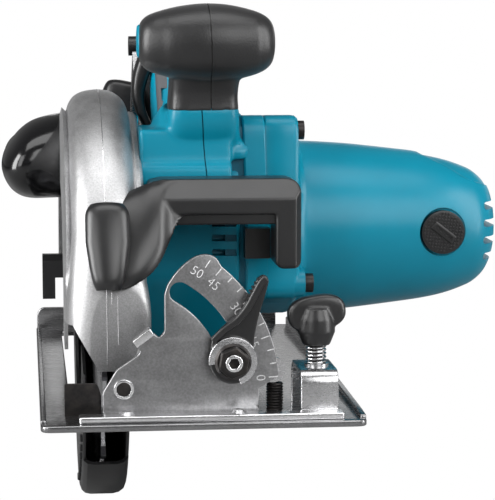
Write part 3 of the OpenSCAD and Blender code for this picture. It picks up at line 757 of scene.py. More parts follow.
# Limb knots: x, y, z, half width, half thickness
GRIP_NECK = [
    (50.4, -52, 162, 17.4, 15.5), (50, -49, 154, 16.5, 14.4), (49.6, -47, 147, 16.3, 13.6),
    (49.4, -46.4, 141, 16.5, 13.6), (49.4, -46.4, 136.4, 16.9, 13.8)]
TOWER = [
    (49.4, -46, 137, 17, 13.8), (49.4, -46, 134.6, 17.2, 14), (49.2, -44.6, 131, 18, 14),
    (48.6, -41.6, 127.6, 21, 14.6), (48.6, -38, 123, 24, 16), (48.6, -36, 116, 24, 16)]
DECK = [
    (45, -30, 112, 20, 8), (45, 0, 113, 20, 8), (46, 30, 112, 19.5, 7), (46.5, 66, 105, 19.5, 8),
    (47, 88, 92, 19, 8.5), (47, 104, 84, 19, 9)]
FRONT_STEM = [
    (47, -22, 122, 19.6, 14), (47, -6, 136, 19.8, 14), (47, 8, 150, 19.6, 14.5), (47, 20, 160, 19, 14.5)]
ARCH = [
    (47, 14, 156, 18.6, 14), (47, 30, 165, 18.6, 14.6), (47, 50, 168, 18.4, 14.6), (47, 76, 161, 18.4, 15),
    (47, 98, 146, 18.6, 15), (47, 112, 130, 18.8, 14.5), (47, 118, 112, 19, 14.4),
    (47, 116, 96, 19.2, 14.4), (47, 110, 88, 19, 12)]
ARCH_RUBBER = [
    (47, 30, 165.3, 19.2, 15.2), (47, 50, 168.3, 19, 15.3), (47, 76, 161.3, 19, 15.7),
    (47, 98, 146.3, 19.2, 15.7), (47, 112, 130.2, 19.4, 15.2)]
REAR_BLOCK = [
    (18, 104, 97, 12, 14), (18, 104, 118, 12.4, 14), (18, 105, 132, 12.4, 13.5),
    (19.6, 106, 141.4, 10.6, 12)]
REAR_BRIDGE = [(22, 106, 108, 8, 8), (36, 108, 108, 8, 8)]
STRUT = [
    (29.5, 0, 119, 2.3, 5), (25.4, 2, 127, 2.2, 5), (22.2, 3, 135, 2.6, 5.4), (21.4, 4, 143, 3.2, 6),
    (23, 4, 152, 4, 6.5), (26, 3, 160, 4.6, 6.5), (28, 2, 166, 4.6, 6.5)]
FRONT_PANEL = [(32.9, -22.5, 133.5, 3.6, 2.4), (32.9, -14, 143, 3.6, 2.4), (32.9, -4.5, 153, 3.6, 2.4)]


def front_grip():
    """Rubber front grip: a round bar with domed ends on a waisted neck."""
    run = [(18.2, 4.6), (18.7, 8), (20.3, 11), (24.5, 13.8), (35, 16.8), (45, 18.3), (53, 18.6), (62, 17.8),
           (72, 15.5), (78, 13), (81.4, 9.6), (82.7, 5)]
    rings = []
    for x, half in catmull(run, 4):
        swell = 1.03 if 30 < x < 75 else 1
        rings.append([(x, GRIP_Y + a * swell, GRIP_Z + b) for a, b in oval(half, half, 2.15, 40)])
    bar = loft("bar", rings)
    neck = limb("neck", GRIP_NECK, power=4.5, dome=0.02)
    grip = fuse("front_grip_left_skin", [bar, neck], 0.8, 8)
    core = shrink(grip, "front_grip_core", 0.9)
    left, right = split(grip, "front_grip_right_skin", (51.4, GRIP_Y, 168), (1, 0, 0.035), 0.5)
    rubber_piece(core, BLACK, angle=60)
    rubber_piece(left, RUBBER, ["front_grip_left"])
    rubber_piece(right, RUBBER, ["front_grip_right"])
    inlay = []
    for x, share in ((20.6, 1.0), (18.4, 1.0), (17.7, 0.9), (17.5, 0.7)):
        inlay.append([(x, GRIP_Y + a * share, 169.2 + b * share) for a, b in oval(6.2, 7.8, 2.0, 40)])
    teal_piece(loft("grip_inlay", inlay), angle=40)


def handle():
    """Teal clamshell handle: front tower and block over the gear case, and the arch to the rear."""
    side = [(-16, 127.6), (-55.4, 127.6), (-56.4, 112.5), (-60, 109.8), (-60.6, 100), (-16, 100)]
    parts = [
        limb("tower", TOWER, power=4.4, dome=0.02),
        plate("side_block", [rounded(side, [1, 1.2, 3, 3, 2, 1], 4)], 18.7, 62.4, "YZ", 0.9),
        limb("deck", DECK, power=3.2, dome=0.3),
        limb("front_stem", FRONT_STEM, power=3.4, dome=0.3),
        limb("arch", ARCH, power=2.6, dome=0.3),
    ]
    body = fuse("handle_left_shell", parts, 1.0, 6)
    core = shrink(body, "handle_core", 1.0)
    left, right = split(body, "handle_right_shell", (49, -46, 122), (1, 0, 0.07), 0.55)
    black_piece(core, TEAL_DARK, angle=60)
    teal_piece(left, ["handle_left"], 45)
    teal_piece(right, ["handle_right"], 45)
    over = fuse("rear_grip_rubber", [limb("arch_rubber", ARCH_RUBBER, power=2.6, dome=0.1)], 1.2, 3)
    cut(over, block("opening", (33, 42, 120), (61, 80, 154), 4))
    rubber_piece(over, RUBBER, angle=40)


# ------------------------------------------------------------------ blade case, nozzle and hood
CASE_INNER = [
    (57, -16.2), (84, -16.2), (90, -15.4), (95.4, -12), (98.6, -7), (100.4, 0), (99.6, 5), (97.6, 10.4),
    (93.4, 14), (86, 15.3), (31, 15.3)]
CASE_DOME = [
    (31, 17.5), (86, 17.5), (89, 16.4), (93, 15.5), (97.4, 13.8), (100.6, 11), (102.8, 7), (103.7, 2.2),
    (103.5, -2.8), (102.4, -7.6), (100, -11.4), (96.4, -13.7), (93, -14.9), (92.2, -17.6), (57, -18)]
CASE_NOSE = [
    (31, 17.5), (86, 20), (92, 21.2), (96.4, 21.2), (99.6, 19.4), (101.4, 15.4), (102.3, 9.5), (102.6, 2.5),
    (102.3, -4.5), (101.2, -9.6), (98.8, -13.4), (95, -15.8), (90, -17.2), (84, -17.8), (57, -18)]
CASE_FROM = 8
CASE_TO = 191.6
CASE_STEPS = 124
NOSE_FROM = 152
NOSE_BLEND = 26
CREST = 103.8
PAD_RADIUS = 106.4
GUARD_PAD_RADIUS = 97.4


def blade_case():
    """Cast upper guard: a ridged dome round the blade that flattens into a broad sandy nose."""
    rings = []
    for i in range(CASE_STEPS + 1):
        a = CASE_FROM + (CASE_TO - CASE_FROM) * i / CASE_STEPS
        t = math.radians(a)
        mix = ease((a - NOSE_FROM) / NOSE_BLEND)
        knots = [[p + (q - p) * mix for p, q in zip(*pair)] for pair in zip(CASE_DOME, CASE_NOSE)]
        outer = catmull(knots, 3)
        rings.append([(x, r * math.cos(t), ARBOR_Z + r * math.sin(t)) for r, x in outer + CASE_INNER])
    dome = loft("blade_case_shell", rings)
    corner = [(-14.6, 41), (-3.6, 21.4), (-3.2, 8), (-34, 8), (-34, 41)]
    cut(dome, plate("corner", [corner], -118, -72, "XZ", 0))
    finish_piece(dome, "saw_head", [CAST_NOSE], ["blade_case"], 24)
    profile = [(30, 15), (30, 19.9), (88.6, 19.9), (91, 19.5), (92.2, 18.4), (92.6, 16.6), (92, 15)]
    flange = revolve("case_flange", profile, (0, 0, ARBOR_Z), "x", 20, 150, 90)
    ends = [(15.4, -107, 26.4, 5.4, 6), (20.4, -107, 26.4, 5.4, 6)]
    lug = limb("lug", ends, power=2, side=Vector((0, 0, 1)), dome=0.3)
    finish_piece(join("case_lug", [flange, lug]), "saw_head", [CAST, CAST])
    # Real ridges along the case, raised only slightly; their bright polished steel is a painted highlight
    # line along each crest.
    ribs = []
    for x, a0, a1 in ((0.9, 70, 190), (6, 172, 184.5), (3.2, 171, 174)):
        path = []
        for i in range(41):
            t = math.radians(a0 + (a1 - a0) * i / 40)
            crest = CREST - 1.15 * ease((math.degrees(t) - NOSE_FROM) / NOSE_BLEND)
            path.append([(x + u, (crest + w) * math.cos(t), ARBOR_Z + (crest + w) * math.sin(t))
                         for u, w in ((-0.6, -0.5), (-0.14, 0.14), (0.14, 0.14), (0.6, -0.5))])
        ribs.append(loft("rib", path))
    finish_piece(join("case_ribs", ribs), "saw_head", [BRIGHT_EDGE_AND_HIGHLIGHT])


# Elbow sections: x, low, high, near, far
ELBOW = [
    (-16.5, 88, 131.4, 4, 58), (-24, 88, 130, 0, 60), (-31.5, 88, 127.6, -2, 61),
    (-37.5, 89.4, 123.4, -2, 61), (-42.3, 92.8, 117.8, 1, 60), (-45.6, 98, 112.6, 7, 57),
    (-47.2, 103.6, 107.2, 18, 48)]
SPIGOT = (-31.6, 0, 103.6)


def dust_nozzle():
    """Gloss elbow that turns from the case to a hose spigot at the rear."""
    rings = []
    for x, low, high, near, far in catmull(ELBOW, 5):
        section = oval((far - near) / 2, (high - low) / 2, 2.15, 56)
        rings.append([(x, (near + far) / 2 + a, (low + high) / 2 + b) for a, b in section])
    tube = solid([(14.4, 40), (14.4, 64), (15.2, 70), (15.2, 103), (14.8, 106)])
    parts = [loft("elbow", rings), revolve("spigot", tube, SPIGOT, "y", count=64)]
    shell = fuse("dust_nozzle_shell", parts, 1.0, 6)
    cut(shell, revolve("bore", solid([(13.6, 72), (13.6, 120)]), SPIGOT, "y", count=64))
    finish_piece(shell, "saw_head", [GLOSS], ["dust_nozzle"], 35)


# Pad half width by share of its length; wing sections: x, lower y and z, upper y and z, half thickness
HOOD_PAD = [(0, 9.2), (0.12, 10.2), (0.45, 10.2), (0.75, 8.6), (1, 6.6)]
HOOD_WING = [
    (3, -103, 57, -80, 97, 3.2), (10, -103.4, 58, -79, 99.6, 3.4), (16, -102.6, 61, -78, 102.4, 3.2),
    (22, -99.6, 65, -79.4, 104.6, 2.6), (27, -96, 71.6, -79.6, 105.2, 1.8),
    (31, -91.4, 79.6, -79.6, 105.6, 1), (36, -86.6, 88, -79.4, 105.4, 0.5), (42, -83, 91, -78, 104, 0.4)]


def hood_pad_rings():
    """Sections of the crowned pad round the case, from its upper to its lower end."""
    rings = []
    for i in range(25):
        t = i / 24
        a = math.radians(149 + 21.6 * t)
        edge = (1 - abs(2 * t - 1) ** 12) ** 0.5 if 0 < i < 24 else 0.5
        half = between(HOOD_PAD, t) * (0.7 + 0.3 * edge)
        ring = []
        for u, w in oval(half, 4.2 * edge, 2.6, 36):
            crown = 1.2 * (1 - (u / half) ** 2) if w > 0 else 0
            r = PAD_RADIUS + w + crown
            ring.append((1.6 + u, r * math.cos(a), ARBOR_Z + r * math.sin(a)))
        rings.append(ring)
    return rings


def hood_wing_rings():
    """Sections of the wing that sweeps from the pad to the bar: a swelling front and a flat back."""
    rings = []
    for x, y0, z0, y1, z1, half in catmull(HOOD_WING, 4):
        run = Vector((y1 - y0, z1 - z0))
        out = Vector((-run.y, run.x)).normalized()
        ring = []
        for k in range(33):
            t = k / 32
            swell = 2.6 * math.sin(math.pi * t) * (1 - ease((x - 25) / 8)) + half * (1 - (2 * t - 1) ** 6)
            ring.append((x, *(Vector((y0, z0)) + run * t + out * swell)))
        for k in range(1, 32):
            ring.append((x, *(Vector((y1, z1)) - run * (k / 32) - out * half * 0.5)))
        rings.append(ring)
    return rings


def air_hood():
    """Black air guide: a pad on the case, a swept wing and a bar over the quadrant."""
    corners = [
        (30, 89.8), (21.5, 98), (21.5, 104.6), (28, 106), (92.4, 106), (92.4, 64.3), (80, 64.3), (80, 89.8)]
    bar = plate("bar", [rounded(corners, [0.5, 3, 2, 1, 7, 4, 4, 1], 6)], -87, -61, "XZ", 1.2)
    for at, normal in (((60, -87, 97.2), (0, -0.74, 0.67)), ((89.4, -87, 80), (0.8, -0.6, 0))):
        slice_mesh(bar.data, V(*at), Vector(normal).normalized(), above=True)
    black_piece(loft("hood_pad", hood_pad_rings()), FACE)
    hood = fuse("air_hood_shell", [bar, loft("wing", hood_wing_rings())], 0.7, 2)
    cut(hood, block("hollow", (36, -80, 50), (80.4, -40, 88), 1.5))
    black_piece(hood, FACE, ["air_hood"])
    black_piece(block("hood_lip", (33.6, -84.2, 85), (81, -62, 92), 1.0), BLACK)


def handle_side_parts():
    """Black pieces on the handle's left side, beside the case."""
    rear = limb("rear", REAR_BLOCK, power=4.4, dome=0.3)
    bridge = limb("bridge", REAR_BRIDGE, power=3, side=Vector((0, 1, 0)), dome=0.1)
    block_rear = fuse("handle_rear_block", [rear, bridge], 1.2, 6)
    black_piece(block_rear, BLACK, angle=45)
    strip = block("handle_rear_trim", (24.2, 88.6, 108), (26, 98, 142.6), 0.5)
    teal_piece(strip, angle=45)
    strut = limb("handle_strut", STRUT, power=3.2, steps=6)
    black_piece(strut, BLACK, angle=45)
    panel = limb("handle_front_panel", FRONT_PANEL, power=5, dome=0.1)
    cut(panel, block("slot", (31.6, -30, 139.5), (34.6, 0, 145.5), 0.6))
    black_piece(panel, GREY, angle=35)


# ------------------------------------------------------------------ lower guard
GUARD_TROUGH = [
    (26, 10.4), (94, 10.4), (96, 9), (97, 6.6), (97, -5.6), (96, -7.4), (94, -8.4), (60, -8.4), (60, -10),
    (94.4, -10), (96.6, -9.2), (98.1, -7.6), (98.7, -5), (98.7, 6), (98, 9), (96.4, 11.2), (94.4, 12),
    (26, 12)]
# Wall profiles of (radius, along), with their start, turn and steps
GUARD_WALLS = [
    ([(27, 10.5), (27, 11.9), (94.6, 11.9), (95.2, 11.2), (95.2, 10.5)], 194, 33, 30),
    ([(61, -9.9), (61, -8.5), (95.8, -8.5), (95.8, -9.2), (95.2, -9.9)], 194, 33, 30),
    ([(31, -9.9), (31, -8.5), (62, -8.5), (62, -9.9)], 335, 40, 30),
    ([(22.05, 7.5), (31, 7.5), (31, 11.8), (22.05, 11.8)], 0, 360, 64),
]


def lower_guard():
    """Retracting guard: a trough round the blade with thin forward walls, its hub and a chamfered nose."""
    centre = (0, 0, ARBOR_Z)
    shell = revolve("lower_guard_shell", GUARD_TROUGH, centre, "x", 226, 139, 90)
    finish_piece(shell, "guard", [BLACK], ["lower_guard"])
    walls = [revolve("wall", profile, centre, "x", *sweep) for profile, *sweep in GUARD_WALLS]
    for a in range(200, 262, 5):
        t = math.radians(a)
        y, z = 90 * math.cos(t), ARBOR_Z + 90 * math.sin(t)
        walls.append(block("boss", (-11.2, y - 1.8, z - 1.6), (-9.6, y + 1.8, z + 1.6), 0.5))
    finish_piece(join("guard_walls", walls), "guard", [BLACK])
    rings = []
    for i in range(13):
        t = math.radians(228 + 24 * i / 12)
        edge = 1 - 0.22 * ease((i - 9) / 3)
        ring = [(u * edge, GUARD_PAD_RADIUS + v) for u, v in oval(6, 1.0, 5, 24)]
        rings.append([(0.8 + u, r * math.cos(t), ARBOR_Z + r * math.sin(t)) for u, r in ring])
    # The nose pad takes the light grey: painted highlight on black plastic.
    finish_piece(loft("guard_nose_pad", rings), "guard", [BLACK_PAINTED_HIGHLIGHT], (), 40)


# ------------------------------------------------------------------ base and quadrant
QUADRANT_EDGE = [
    (-2.1, 3), (-2.1, 14.6), (1.4, 20), (4, 24.4), (13.9, 31.2), (14.8, 33), (11.2, 37.2), (18.9, 42.9),
    (23.3, 38.5), (25.7, 41.6), (25.7, 58), (27, 62.4), (30.4, 67.6), (35, 72.2), (39.6, 75.2), (44, 76.2),
    (48.6, 75)]
QUADRANT_EDGE += arc(70, 51, 4, 22, BEVEL) + [(71, 16.6), (68.1, 15), (68.1, 3)]
LEVER_Y = PLATE_Y - 2.4
SLOT_R = 50
SLOT_HALF = 4.6
SCALE_START = 3.6
SCALE_STEP = 1.045
QUADRANT_ROUNDS = [0, 1.5, 1, 1, 1, 0.8, 1, 2, 1.5, 1, 0.5, 1, 2.6, 2.8, 2.4, 2.2, 2.2]


def slot_outline(a0, a1):
    """A round-ended slot along an arc about the bevel axis."""
    points = arc(SLOT_R + SLOT_HALF, a0, a1, 30, BEVEL)
    for centre, turn in ((a1, 0), (a0, 180)):
        t = math.radians(centre)
        end = (BEVEL[0] + SLOT_R * math.cos(t), BEVEL[1] + SLOT_R * math.sin(t))
        points += arc(SLOT_HALF, centre + turn, centre + turn + 180, 12, end)[1:-1]
        if turn == 0:
            points += arc(SLOT_R - SLOT_HALF, a1, a0, 30, BEVEL)
    return points


def quadrant():
    """Bevel quadrant of ground sheet with a bright edge, its slot, pivot and degree scale."""
    edge = rounded(QUADRANT_EDGE, QUADRANT_ROUNDS + [0] * 40, 3)
    hole = arc(3.1, 0, 345, 23, BEVEL)
    bore = arc(3.2, 0, 345, 23, BEVEL)
    main = plate("quadrant", [edge, slot_outline(9.5, 59.6), hole], PLATE_Y, PLATE_Y + 3, "XZ", 0.45)
    finish_piece(main, "root", [QUADRANT, BRIGHT_EDGE_AND_HIGHLIGHT], ["angular_plate"])
    tab = block("quadrant_tab", (-4.9, -4, -1.8), (4.9, 3, 1.8), 0.6)
    tab.data.transform(turned(V(16, PLATE_Y, 39.3), -36.5))
    finish_piece(tab, "root", [BRIGHT_EDGE_AND_HIGHLIGHT])
    # A flat black disc on the pin's head: painted shade standing in for the dark of its hex socket.
    socket = plate("pivot_socket_painted_shade", [bore], PLATE_Y - 1.9, PLATE_Y - 0.5, "XZ", 0.1)
    ring = [arc(4.5, 0, 350, 35, BEVEL), bore]
    collar = plate("pivot_collar", ring, PLATE_Y - 2, PLATE_Y - 0.2, "XZ", 0.25)
    finish_piece(socket, "root", [SCREW, SCREW])
    finish_piece(collar, "root", [BRIGHT_EDGE_AND_HIGHLIGHT, BRIGHT_EDGE_AND_HIGHLIGHT])
    strip = [(-13, -136.9), (105, -136.9), (105, -128.2), (68, -128.2), (68, -120), (-2, -120), (-2, -128.2)]
    foot = plate("quadrant_foot", [rounded(strip + [(-13, -128.2)], 1.2)], 3, 6, "XY", 0.6)
    # The foot's flat faces take the bright polished steel: a painted highlight along the quadrant's bend.
    finish_piece(foot, "root", [BRIGHT_EDGE_AND_HIGHLIGHT, BASE_EDGE])
    quarter = [(0.05, -2), (3, -2), (3, 68), (0.05, 68)]
    # The bend takes the bright polished steel too: a painted highlight.
    bend = revolve("quadrant_bend", quarter, (0, -123.2, 5.8), "x", 270, 90, 8)
    finish_piece(bend, "root", [BRIGHT_EDGE_AND_HIGHLIGHT])
    finish_piece(degree_scale(), "root", [ENGRAVED])


def degree_scale():
    """Strokes every 5 degrees, longer at the named angles, and the numbers under them."""
    marks = []
    centre = Vector(BEVEL)
    for value in range(0, 55, 5):
        t = math.radians(SCALE_START + value * SCALE_STEP)
        inner = 65.4 if value in (0, 15, 30, 45, 50) else 66.6
        out = Vector((math.cos(t), math.sin(t)))
        half = Vector((-math.sin(t), math.cos(t))) * 0.22
        a, b = centre + out * inner, centre + out * 69.4
        stroke = [tuple(p) for p in (a - half, b - half, b + half, a + half)]
        marks.append(plate("mark", [stroke], PLATE_Y - 0.06, PLATE_Y + 0.2, "XZ", 0.02))
    for value, shift in ((0, 0), (15, 0), (30, 0), (45, -1.5), (50, 1.8)):
        marks.append(number(str(value), SCALE_START + value * SCALE_STEP + shift, 61.6, 5.9))
    return join("degree_scale", marks)


def front_bracket():
    """Tilt bracket behind the quadrant: a flat plate with a knuckle for the depth pivot."""
    outline = rounded(
        [(1, 6), (1, 14), (4.5, 19.5), (15.6, 27.6), (16.6, 36), (62, 36), (66, 30), (66, 6)], 2)
    holes = [arc(4.1, 0, 345, 23, BOLT), arc(3.2, 0, 345, 23, BEVEL)]
    back = plate("back", [outline] + holes, -119.6, -116.4, "XZ", 0.5)
    tube = [(3.05, 21), (6.6, 21), (7, 21.6), (7, 33.4), (6.6, 34), (3.05, 34)]
    knuckle = revolve("knuckle", tube, DEPTH_PIVOT, "x", count=48)
    web = block("web", (21.4, -118, 10), (33.6, -111, 26), 1.2)
    pin = revolve(
        "pin", solid([(2.9, 13), (2.9, 36), (4.6, 36), (4.6, 38), (4, 38.5)]), DEPTH_PIVOT, "x", count=40)
    finish_piece(pin, "tilt_bracket", [STEEL], ["depth_pivot_pin"])
    bracket = join("front_bracket_plate", [back, knuckle, web])
    finish_piece(bracket, "tilt_bracket", [STEEL, BRIGHT_EDGE_AND_HIGHLIGHT], ["front_bracket"])


def number(digits, angle, radius, size):
    """A number of the degree scale as thin raised print, upright along the radius."""
    curve = bpy.data.curves.new("number", "FONT")
    curve.body = digits
    curve.size = size * MM
    curve.align_x = "CENTER"
    curve.align_y = "CENTER"
    curve.extrude = 0.06 * MM
    curve.offset = -0.1 * MM
    t = math.radians(angle)
    place = V(BEVEL[0] + radius * math.cos(t), PLATE_Y - 0.02, BEVEL[1] + radius * math.sin(t))
    turn = Matrix.Rotation(t - math.pi / 2, 4, "Z")
    return linked("number", drawn(curve, Matrix.Translation(place) @ PLANES["XZ"].to_4x4() @ turn))


SOLE = (-30, 115, -140, 140)


def base_plate():
    """Pressed base: a flat sole with turned-up edges, the blade slot and a dark plate at the slot's front."""
    x0, x1, y0, y1 = SOLE
    outline = rounded([(x0, y0), (x1, y0), (x1, y1), (x0, y1)], 5, 5)
    slot = rounded([(-16, -101), (34, -101), (34, 128), (-16, 128)], 3, 4)
    sole = plate("base_plate_sheet", [outline, slot], 0, 3, "XY", 0.7)
    finish_piece(sole, "root", [BASE, BASE_EDGE], ["base_plate"])
    right = rounded([(-135, 1), (135, 1), (135, 8), (128, 9), (-120, 5.2), (-135, 4.6)], 1.5)
    left = rounded([(-133, 1), (133, 1), (133, 4.4), (-133, 4.4)], 1)
    rear = rounded([(-29.5, 1), (107, 1), (107, 12), (103, 15), (-27, 15), (-29.5, 12)], 2)
    lips = [plate("lip", [right], x1 - 2.6, x1, "YZ", 0.6), plate("lip", [left], x0, x0 + 2.5, "YZ", 0.6),
            plate("lip", [rear], y1 - 2.6, y1, "XZ", 0.6)]
    finish_piece(join("base_lips", lips), "root", [BASE, BRIGHT_EDGE_AND_HIGHLIGHT])
    front = rounded(
        [(-19.1, 2.6), (-2.7, 2.6), (-2.7, 12.6), (-4.4, 17.8), (-19.1, 17.8)], [0, 0, 1, 1.6, 0.6])
    upright = plate("sole_front_plate", [front], -118, -116.6, "XZ", 0.3)
    finish_piece(upright, "root", [SCREW, SCREW])


# Wing sections of the knob: place along y and share of full size
KNOB_STEPS = [
    (-4.1, 0.55), (-3.8, 0.82), (-3, 0.95), (-1.5, 1), (1.5, 1), (3, 0.95), (3.8, 0.82), (4.1, 0.55)]


def fence_parts():
    """Bent strap that holds a guide rule, and its wing knob."""
    front, rear = (-122, 17.4), (-98, 17.4)
    strap = [(-128, 3)] + arc(6, 180, 90, 8, front) + arc(6, 90, 0, 8, rear) + [(-92, 3), (-94.5, 3)]
    strap += arc(3.5, 0, 90, 8, rear) + arc(3.5, 90, 180, 8, front) + [(-125.5, 3)]
    ob = plate("fence_strap", [strap], 86.5, 103.5, "YZ", 0.5)
    nut = revolve("nut", solid([(5.6, 23.2), (5.6, 24.6), (5, 25)]), (*KNOB, 0), "z", count=32)
    finish_piece(join("fence_strap", [ob, nut]), "root", [STEEL, BRIGHT_EDGE_AND_HIGHLIGHT], ["fence_bracket"])
    c, s = math.cos(math.radians(9)), math.sin(math.radians(9))
    rings = []
    for y, share in KNOB_STEPS:
        wing = oval(13.4 * share, 8.2 * share, 2.5, 48)
        rings.append([(KNOB[0] + a * c - b * s, KNOB[1] + y, 47.6 + a * s + b * c) for a, b in wing])
    hub = revolve("hub", solid([(6.2, 33), (8.6, 39), (8.2, 45), (6.5, 50)]), (*KNOB, 0), "z", count=40)
    knob = fuse("fence_knob_wing", [loft("wing", rings), hub], 0.6, 6)
    finish_piece(knob, "fence_knob", [FACE], ["clamp_knob"], 40)
    rod = revolve("fence_screw", solid([(2.6, 14), (3, 14.6), (3, 34)]), (*KNOB, 0), "z", count=32)
    finish_piece(rod, "fence_knob", [SCREW])


def bevel_lever():
    """Clamp lever behind its washer ring: a slim arm from a round hub."""
    bx, bz = BOLT
    arm = [
        (9.4, 1), (9.6, 9), (11.6, 19), (15, 30), (16.6, 36), (14.4, 38.6), (11.2, 37), (8.2, 30),
        (3.4, 21.6), (-4, 15.6), (-9.4, 10), (-10, 0), (0, -9)]
    web = plate("arm", [rounded([(bx + a, bz + b) for a, b in arm], 3, 5)], LEVER_Y - 3.4, LEVER_Y, "XZ", 0.8)
    hub = revolve("hub", solid([(10.4, 0), (10.4, -4.6), (9.8, -5.2)]), (bx, LEVER_Y, bz), "y", count=64)
    lever = fuse("bevel_lever_arm", [web, hub], 0.45, 2)
    cut(lever, revolve("bore", solid([(4.05, 5), (4.05, -20)]), (bx, LEVER_Y, bz), "y", count=48))
    finish_piece(lever, "bevel_clamp", [BLACK], ["bevel_lever"], 40)


def bevel_lever_ribs():
    """The rib that runs up the lever's face, and the serrations at its tip."""
    bx, bz = BOLT
    run = catmull([(-8.6, 9), (-4, 13.6), (2, 18), (6.6, 23.4), (10, 29.6), (12.6, 34.4), (14.6, 36.8)], 4)
    rings = []
    for i, (a, b) in enumerate(run):
        along = (Vector(run[min(i + 1, len(run) - 1)]) - Vector(run[max(i - 1, 0)])).normalized()
        ring = oval(1.7, 1.5, 3, 20)
        rings.append([(bx + a + along.y * u, LEVER_Y - 3.6 - w, bz + b - along.x * u) for u, w in ring])
    ribs = [loft("rib", rings)]
    for i in range(6):
        x, z = bx + 6.4 + i * 1.15, bz + 27.6 + i * 1.75
        low, high = (x - 1.2, LEVER_Y - 4.4, z - 0.4), (x + 1.6, LEVER_Y - 0.6, z + 0.45)
        ribs.append(block("serration", low, high, 0.2))
    finish_piece(join("bevel_lever_ribs", ribs), "bevel_clamp", [FACE])


def bevel_nut():
    """Open washer ring, flanged lock nut, and the stud with its hex socket."""
    bx, bz = BOLT
    outline = arc(10.9, -72, 188, 60, BOLT) + arc(6.3, 188, -72, 50, BOLT)
    ring = plate("washer_ring", [outline], LEVER_Y - 6.5, LEVER_Y - 5.3, "XZ", 0.3)
    finish_piece(ring, "tilt_bracket", [STEEL, BRIGHT_EDGE_AND_HIGHLIGHT], ["c_ring"])
    hexagon = arc(7.3, 20, 320, 5, BOLT)
    bore = arc(3.9, 0, 345, 23, BOLT)
    nut = plate("lock_nut", [rounded(hexagon, 0.8, 3), bore], LEVER_Y - 11.6, LEVER_Y - 5.6, "XZ", 0.8)
    flange = [(6, -5.4), (8.3, -5.4), (8.3, -6.4), (7.2, -7.6), (6, -7.6)]
    collar = revolve("nut_flange", flange, (bx, LEVER_Y, bz), "y", count=56)
    whole = join("lock_nut", [nut, collar])
    finish_piece(whole, "tilt_bracket", [SCREW, SCREW], ["bevel_nut"])
    rim = [arc(3.85, 0, 345, 23, BOLT), arc(2.6, 0, 300, 5, BOLT)]
    end = plate("stud_end", rim, LEVER_Y - 12.2, LEVER_Y - 7, "XZ", 0.35)
    finish_piece(end, "tilt_bracket", [BRIGHT_EDGE_AND_HIGHLIGHT, BRIGHT_EDGE_AND_HIGHLIGHT])
    shank = solid([(6.4, -113.9), (6.6, -114.2), (6.6, -116), (3.8, -116.1), (3.8, LEVER_Y - 7.2)])
    stud = revolve("clamp_stud", shank, (bx, 0, bz), "y", count=40)
    finish_piece(stud, "tilt_bracket", [SCREW], ["bevel_bolt"])


# ------------------------------------------------------------------ CAD pieces that stay
KEPT = {
    STEEL: (["rear_support", "base_rivets", "bevel_pivot_pins", "ring_screw", "clamp_spring",
             "rear_bracket", "depth_guide", "case_screws", "handle_screws", "depth_bolt",
             "guard_ring", "guard_spring"], 0.25),
    SCREW: (["stop_screw", "housing_screws"], 0.3),
    BLACK: (["switch_unit", "depth_lever", "guard_lever", "trigger", "lock_off_button", "shaft_lock",
             "cooling_fan"], 0.7),
    RUBBER: (["cord_gland"], 0.6),
    GROUND: (["spindle_bearings", "motor_bearings", "field_core", "spindle", "drive_gear",
              "inner_flange", "outer_flange", "blade_bolt", "armature_shaft", "armature_core"], 0.2),
    BLADE: (["blade"], 0.0),
    TIP: (["carbide_tips"], 0.1),
    COPPER: (["field_coils", "commutator"], 0.3),
    BRASS: (["brush_holders"], 0.2),
    CARBON: (["carbon_brushes"], 0.2),
}


def dress_cad():
    """Give the CAD pieces that stay their material and small edge rounds."""
    for mat, (names, width) in KEPT.items():
        for name in names:
            ob = frame["nodes"][name]
            ob.data.materials.clear()
            ob.data.materials.append(mat)
            if width:
                mod = ob.modifiers.new("edges", "BEVEL")
                mod.width = width * MM
                mod.segments = 2
                mod.limit_method = "ANGLE"
                mod.angle_limit = math.radians(42)
                mod.harden_normals = True


# ------------------------------------------------------------------ studio
# Soft boxes: place, aim, size in metres, power
LIGHTS = {
    "top_box": ((60, -220, 900), (50, -40, 60), (0.9, 0.45), 3.9),
    "key_box": ((620, -1250, 720), (90, -40, 70), (0.9, 0.9), 10),
    "fill_box": ((-900, -1150, 560), (0, -60, 70), (0.6, 1.1), 7.6),
    "left_box": ((-1000, -300, 330), (0, -40, 90), (0.5, 1.1), 20),
    "right_box": ((1000, -420, 420), (120, -30, 90), (0.4, 1.1), 9.5),
}
WORLD_TONE = 0.14
FLOOR_TONE = 0.32
BACKDROP_TONE = 0.5
BACKDROP_GLOW = 0.85
CAMERA_LENS = 150
CAMERA_AT = (-35.5, -1040, 188)
CAMERA_AIM = (76, 0, 63)
STAGE_REACH = 8


def aimed(ob, at, aim):
    """Put a light or camera at a place, looking at a point."""
    ob.location = V(*at)
    ob.rotation_euler = (V(*aim) - V(*at)).to_track_quat("-Z", "Y").to_euler()


def area(name, at, aim, size, power):
    """A soft box."""
    data = bpy.data.lights.new(name, "AREA")
    data.shape = "RECTANGLE"
    data.size, data.size_y = size
    data.energy = power
    aimed(linked(name, data), at, aim)


def camera_sees(tree, output, plain, seen):
    """Feed an output so that the camera sees one shader, and light and reflections meet another."""
    mix = tree.nodes.new("ShaderNodeMixShader")
    is_camera = tree.nodes.new("ShaderNodeLightPath").outputs["Is Camera Ray"]
    for socket, value in zip(mix.inputs, (is_camera, plain, seen)):
        tree.links.new(value, socket)
    tree.links.new(mix.outputs["Shader"], tree.nodes[output].inputs["Surface"])


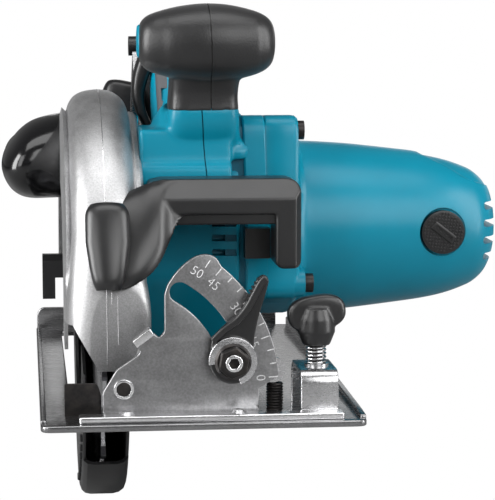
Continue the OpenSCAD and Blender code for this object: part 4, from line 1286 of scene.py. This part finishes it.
def sweep_sheet(name, corners, grey, glow=0.0):
    """A sheet of studio paper that shows white, and in reflections its own tone with an even glow."""
    mesh = bpy.data.meshes.new(name)
    mesh.from_pydata(corners, [], [(0, 1, 2, 3)])
    paper = Nodes(name + "_paper")
    paper.put("Base Color", (grey, grey, grey, 1))
    paper.put("Roughness", 0.8)
    paper.put("Specular IOR Level", 0.1)
    paper.put("Emission Color", (1, 1, 1, 1))
    paper.put("Emission Strength", glow)
    white = paper.add("Emission", Color=(1, 1, 1, 1), Strength=1.0)
    camera_sees(paper.tree, "Material Output", paper.shader.outputs["BSDF"], white.outputs["Emission"])
    mesh.materials.append(paper.mat)
    linked(name, mesh)


def world():
    """White to the camera, and a dim even light for everything else."""
    bpy.context.scene.world = bpy.data.worlds.new("studio")
    bpy.context.scene.world.use_nodes = True
    tree = bpy.context.scene.world.node_tree
    dim, white = tree.nodes["Background"], tree.nodes.new("ShaderNodeBackground")
    dim.inputs["Strength"].default_value = WORLD_TONE
    for node in (dim, white):
        node.inputs["Color"].default_value = (1, 1, 1, 1)
    camera_sees(tree, "World Output", dim.outputs["Background"], white.outputs["Background"])


def studio():
    """Camera, soft boxes, a pale floor, and a band of backdrop for reflections."""
    data = bpy.data.cameras.new("camera")
    data.lens = CAMERA_LENS
    data.sensor_width = 36
    data.clip_end = 50
    camera = linked("camera", data)
    aimed(camera, CAMERA_AT, CAMERA_AIM)
    bpy.context.scene.camera = camera
    for name, light in LIGHTS.items():
        area(name, *light)
    world()
    z, s = FLOOR_Z * MM, STAGE_REACH
    sweep_sheet("floor", [(-s, -s, z), (s, -s, z), (s, s, z), (-s, s, z)], FLOOR_TONE)
    low, high = z + 0.36, z + 0.75
    band = [(-0.13, 2, low), (s, 2, low), (s, 2, high), (-0.13, 2, high)]
    sweep_sheet("backdrop", band, BACKDROP_TONE, BACKDROP_GLOW)
    bpy.context.scene.view_settings.view_transform = "Standard"


studio()
motor()
brush_cap("brush_cap_front", -1)
brush_cap("brush_cap_rear", 1)
gear_case()
front_grip()
handle()
handle_side_parts()
blade_case()
dust_nozzle()
air_hood()
lower_guard()
quadrant()
front_bracket()
base_plate()
fence_parts()
bevel_lever()
bevel_lever_ribs()
bevel_nut()
dress_cad()
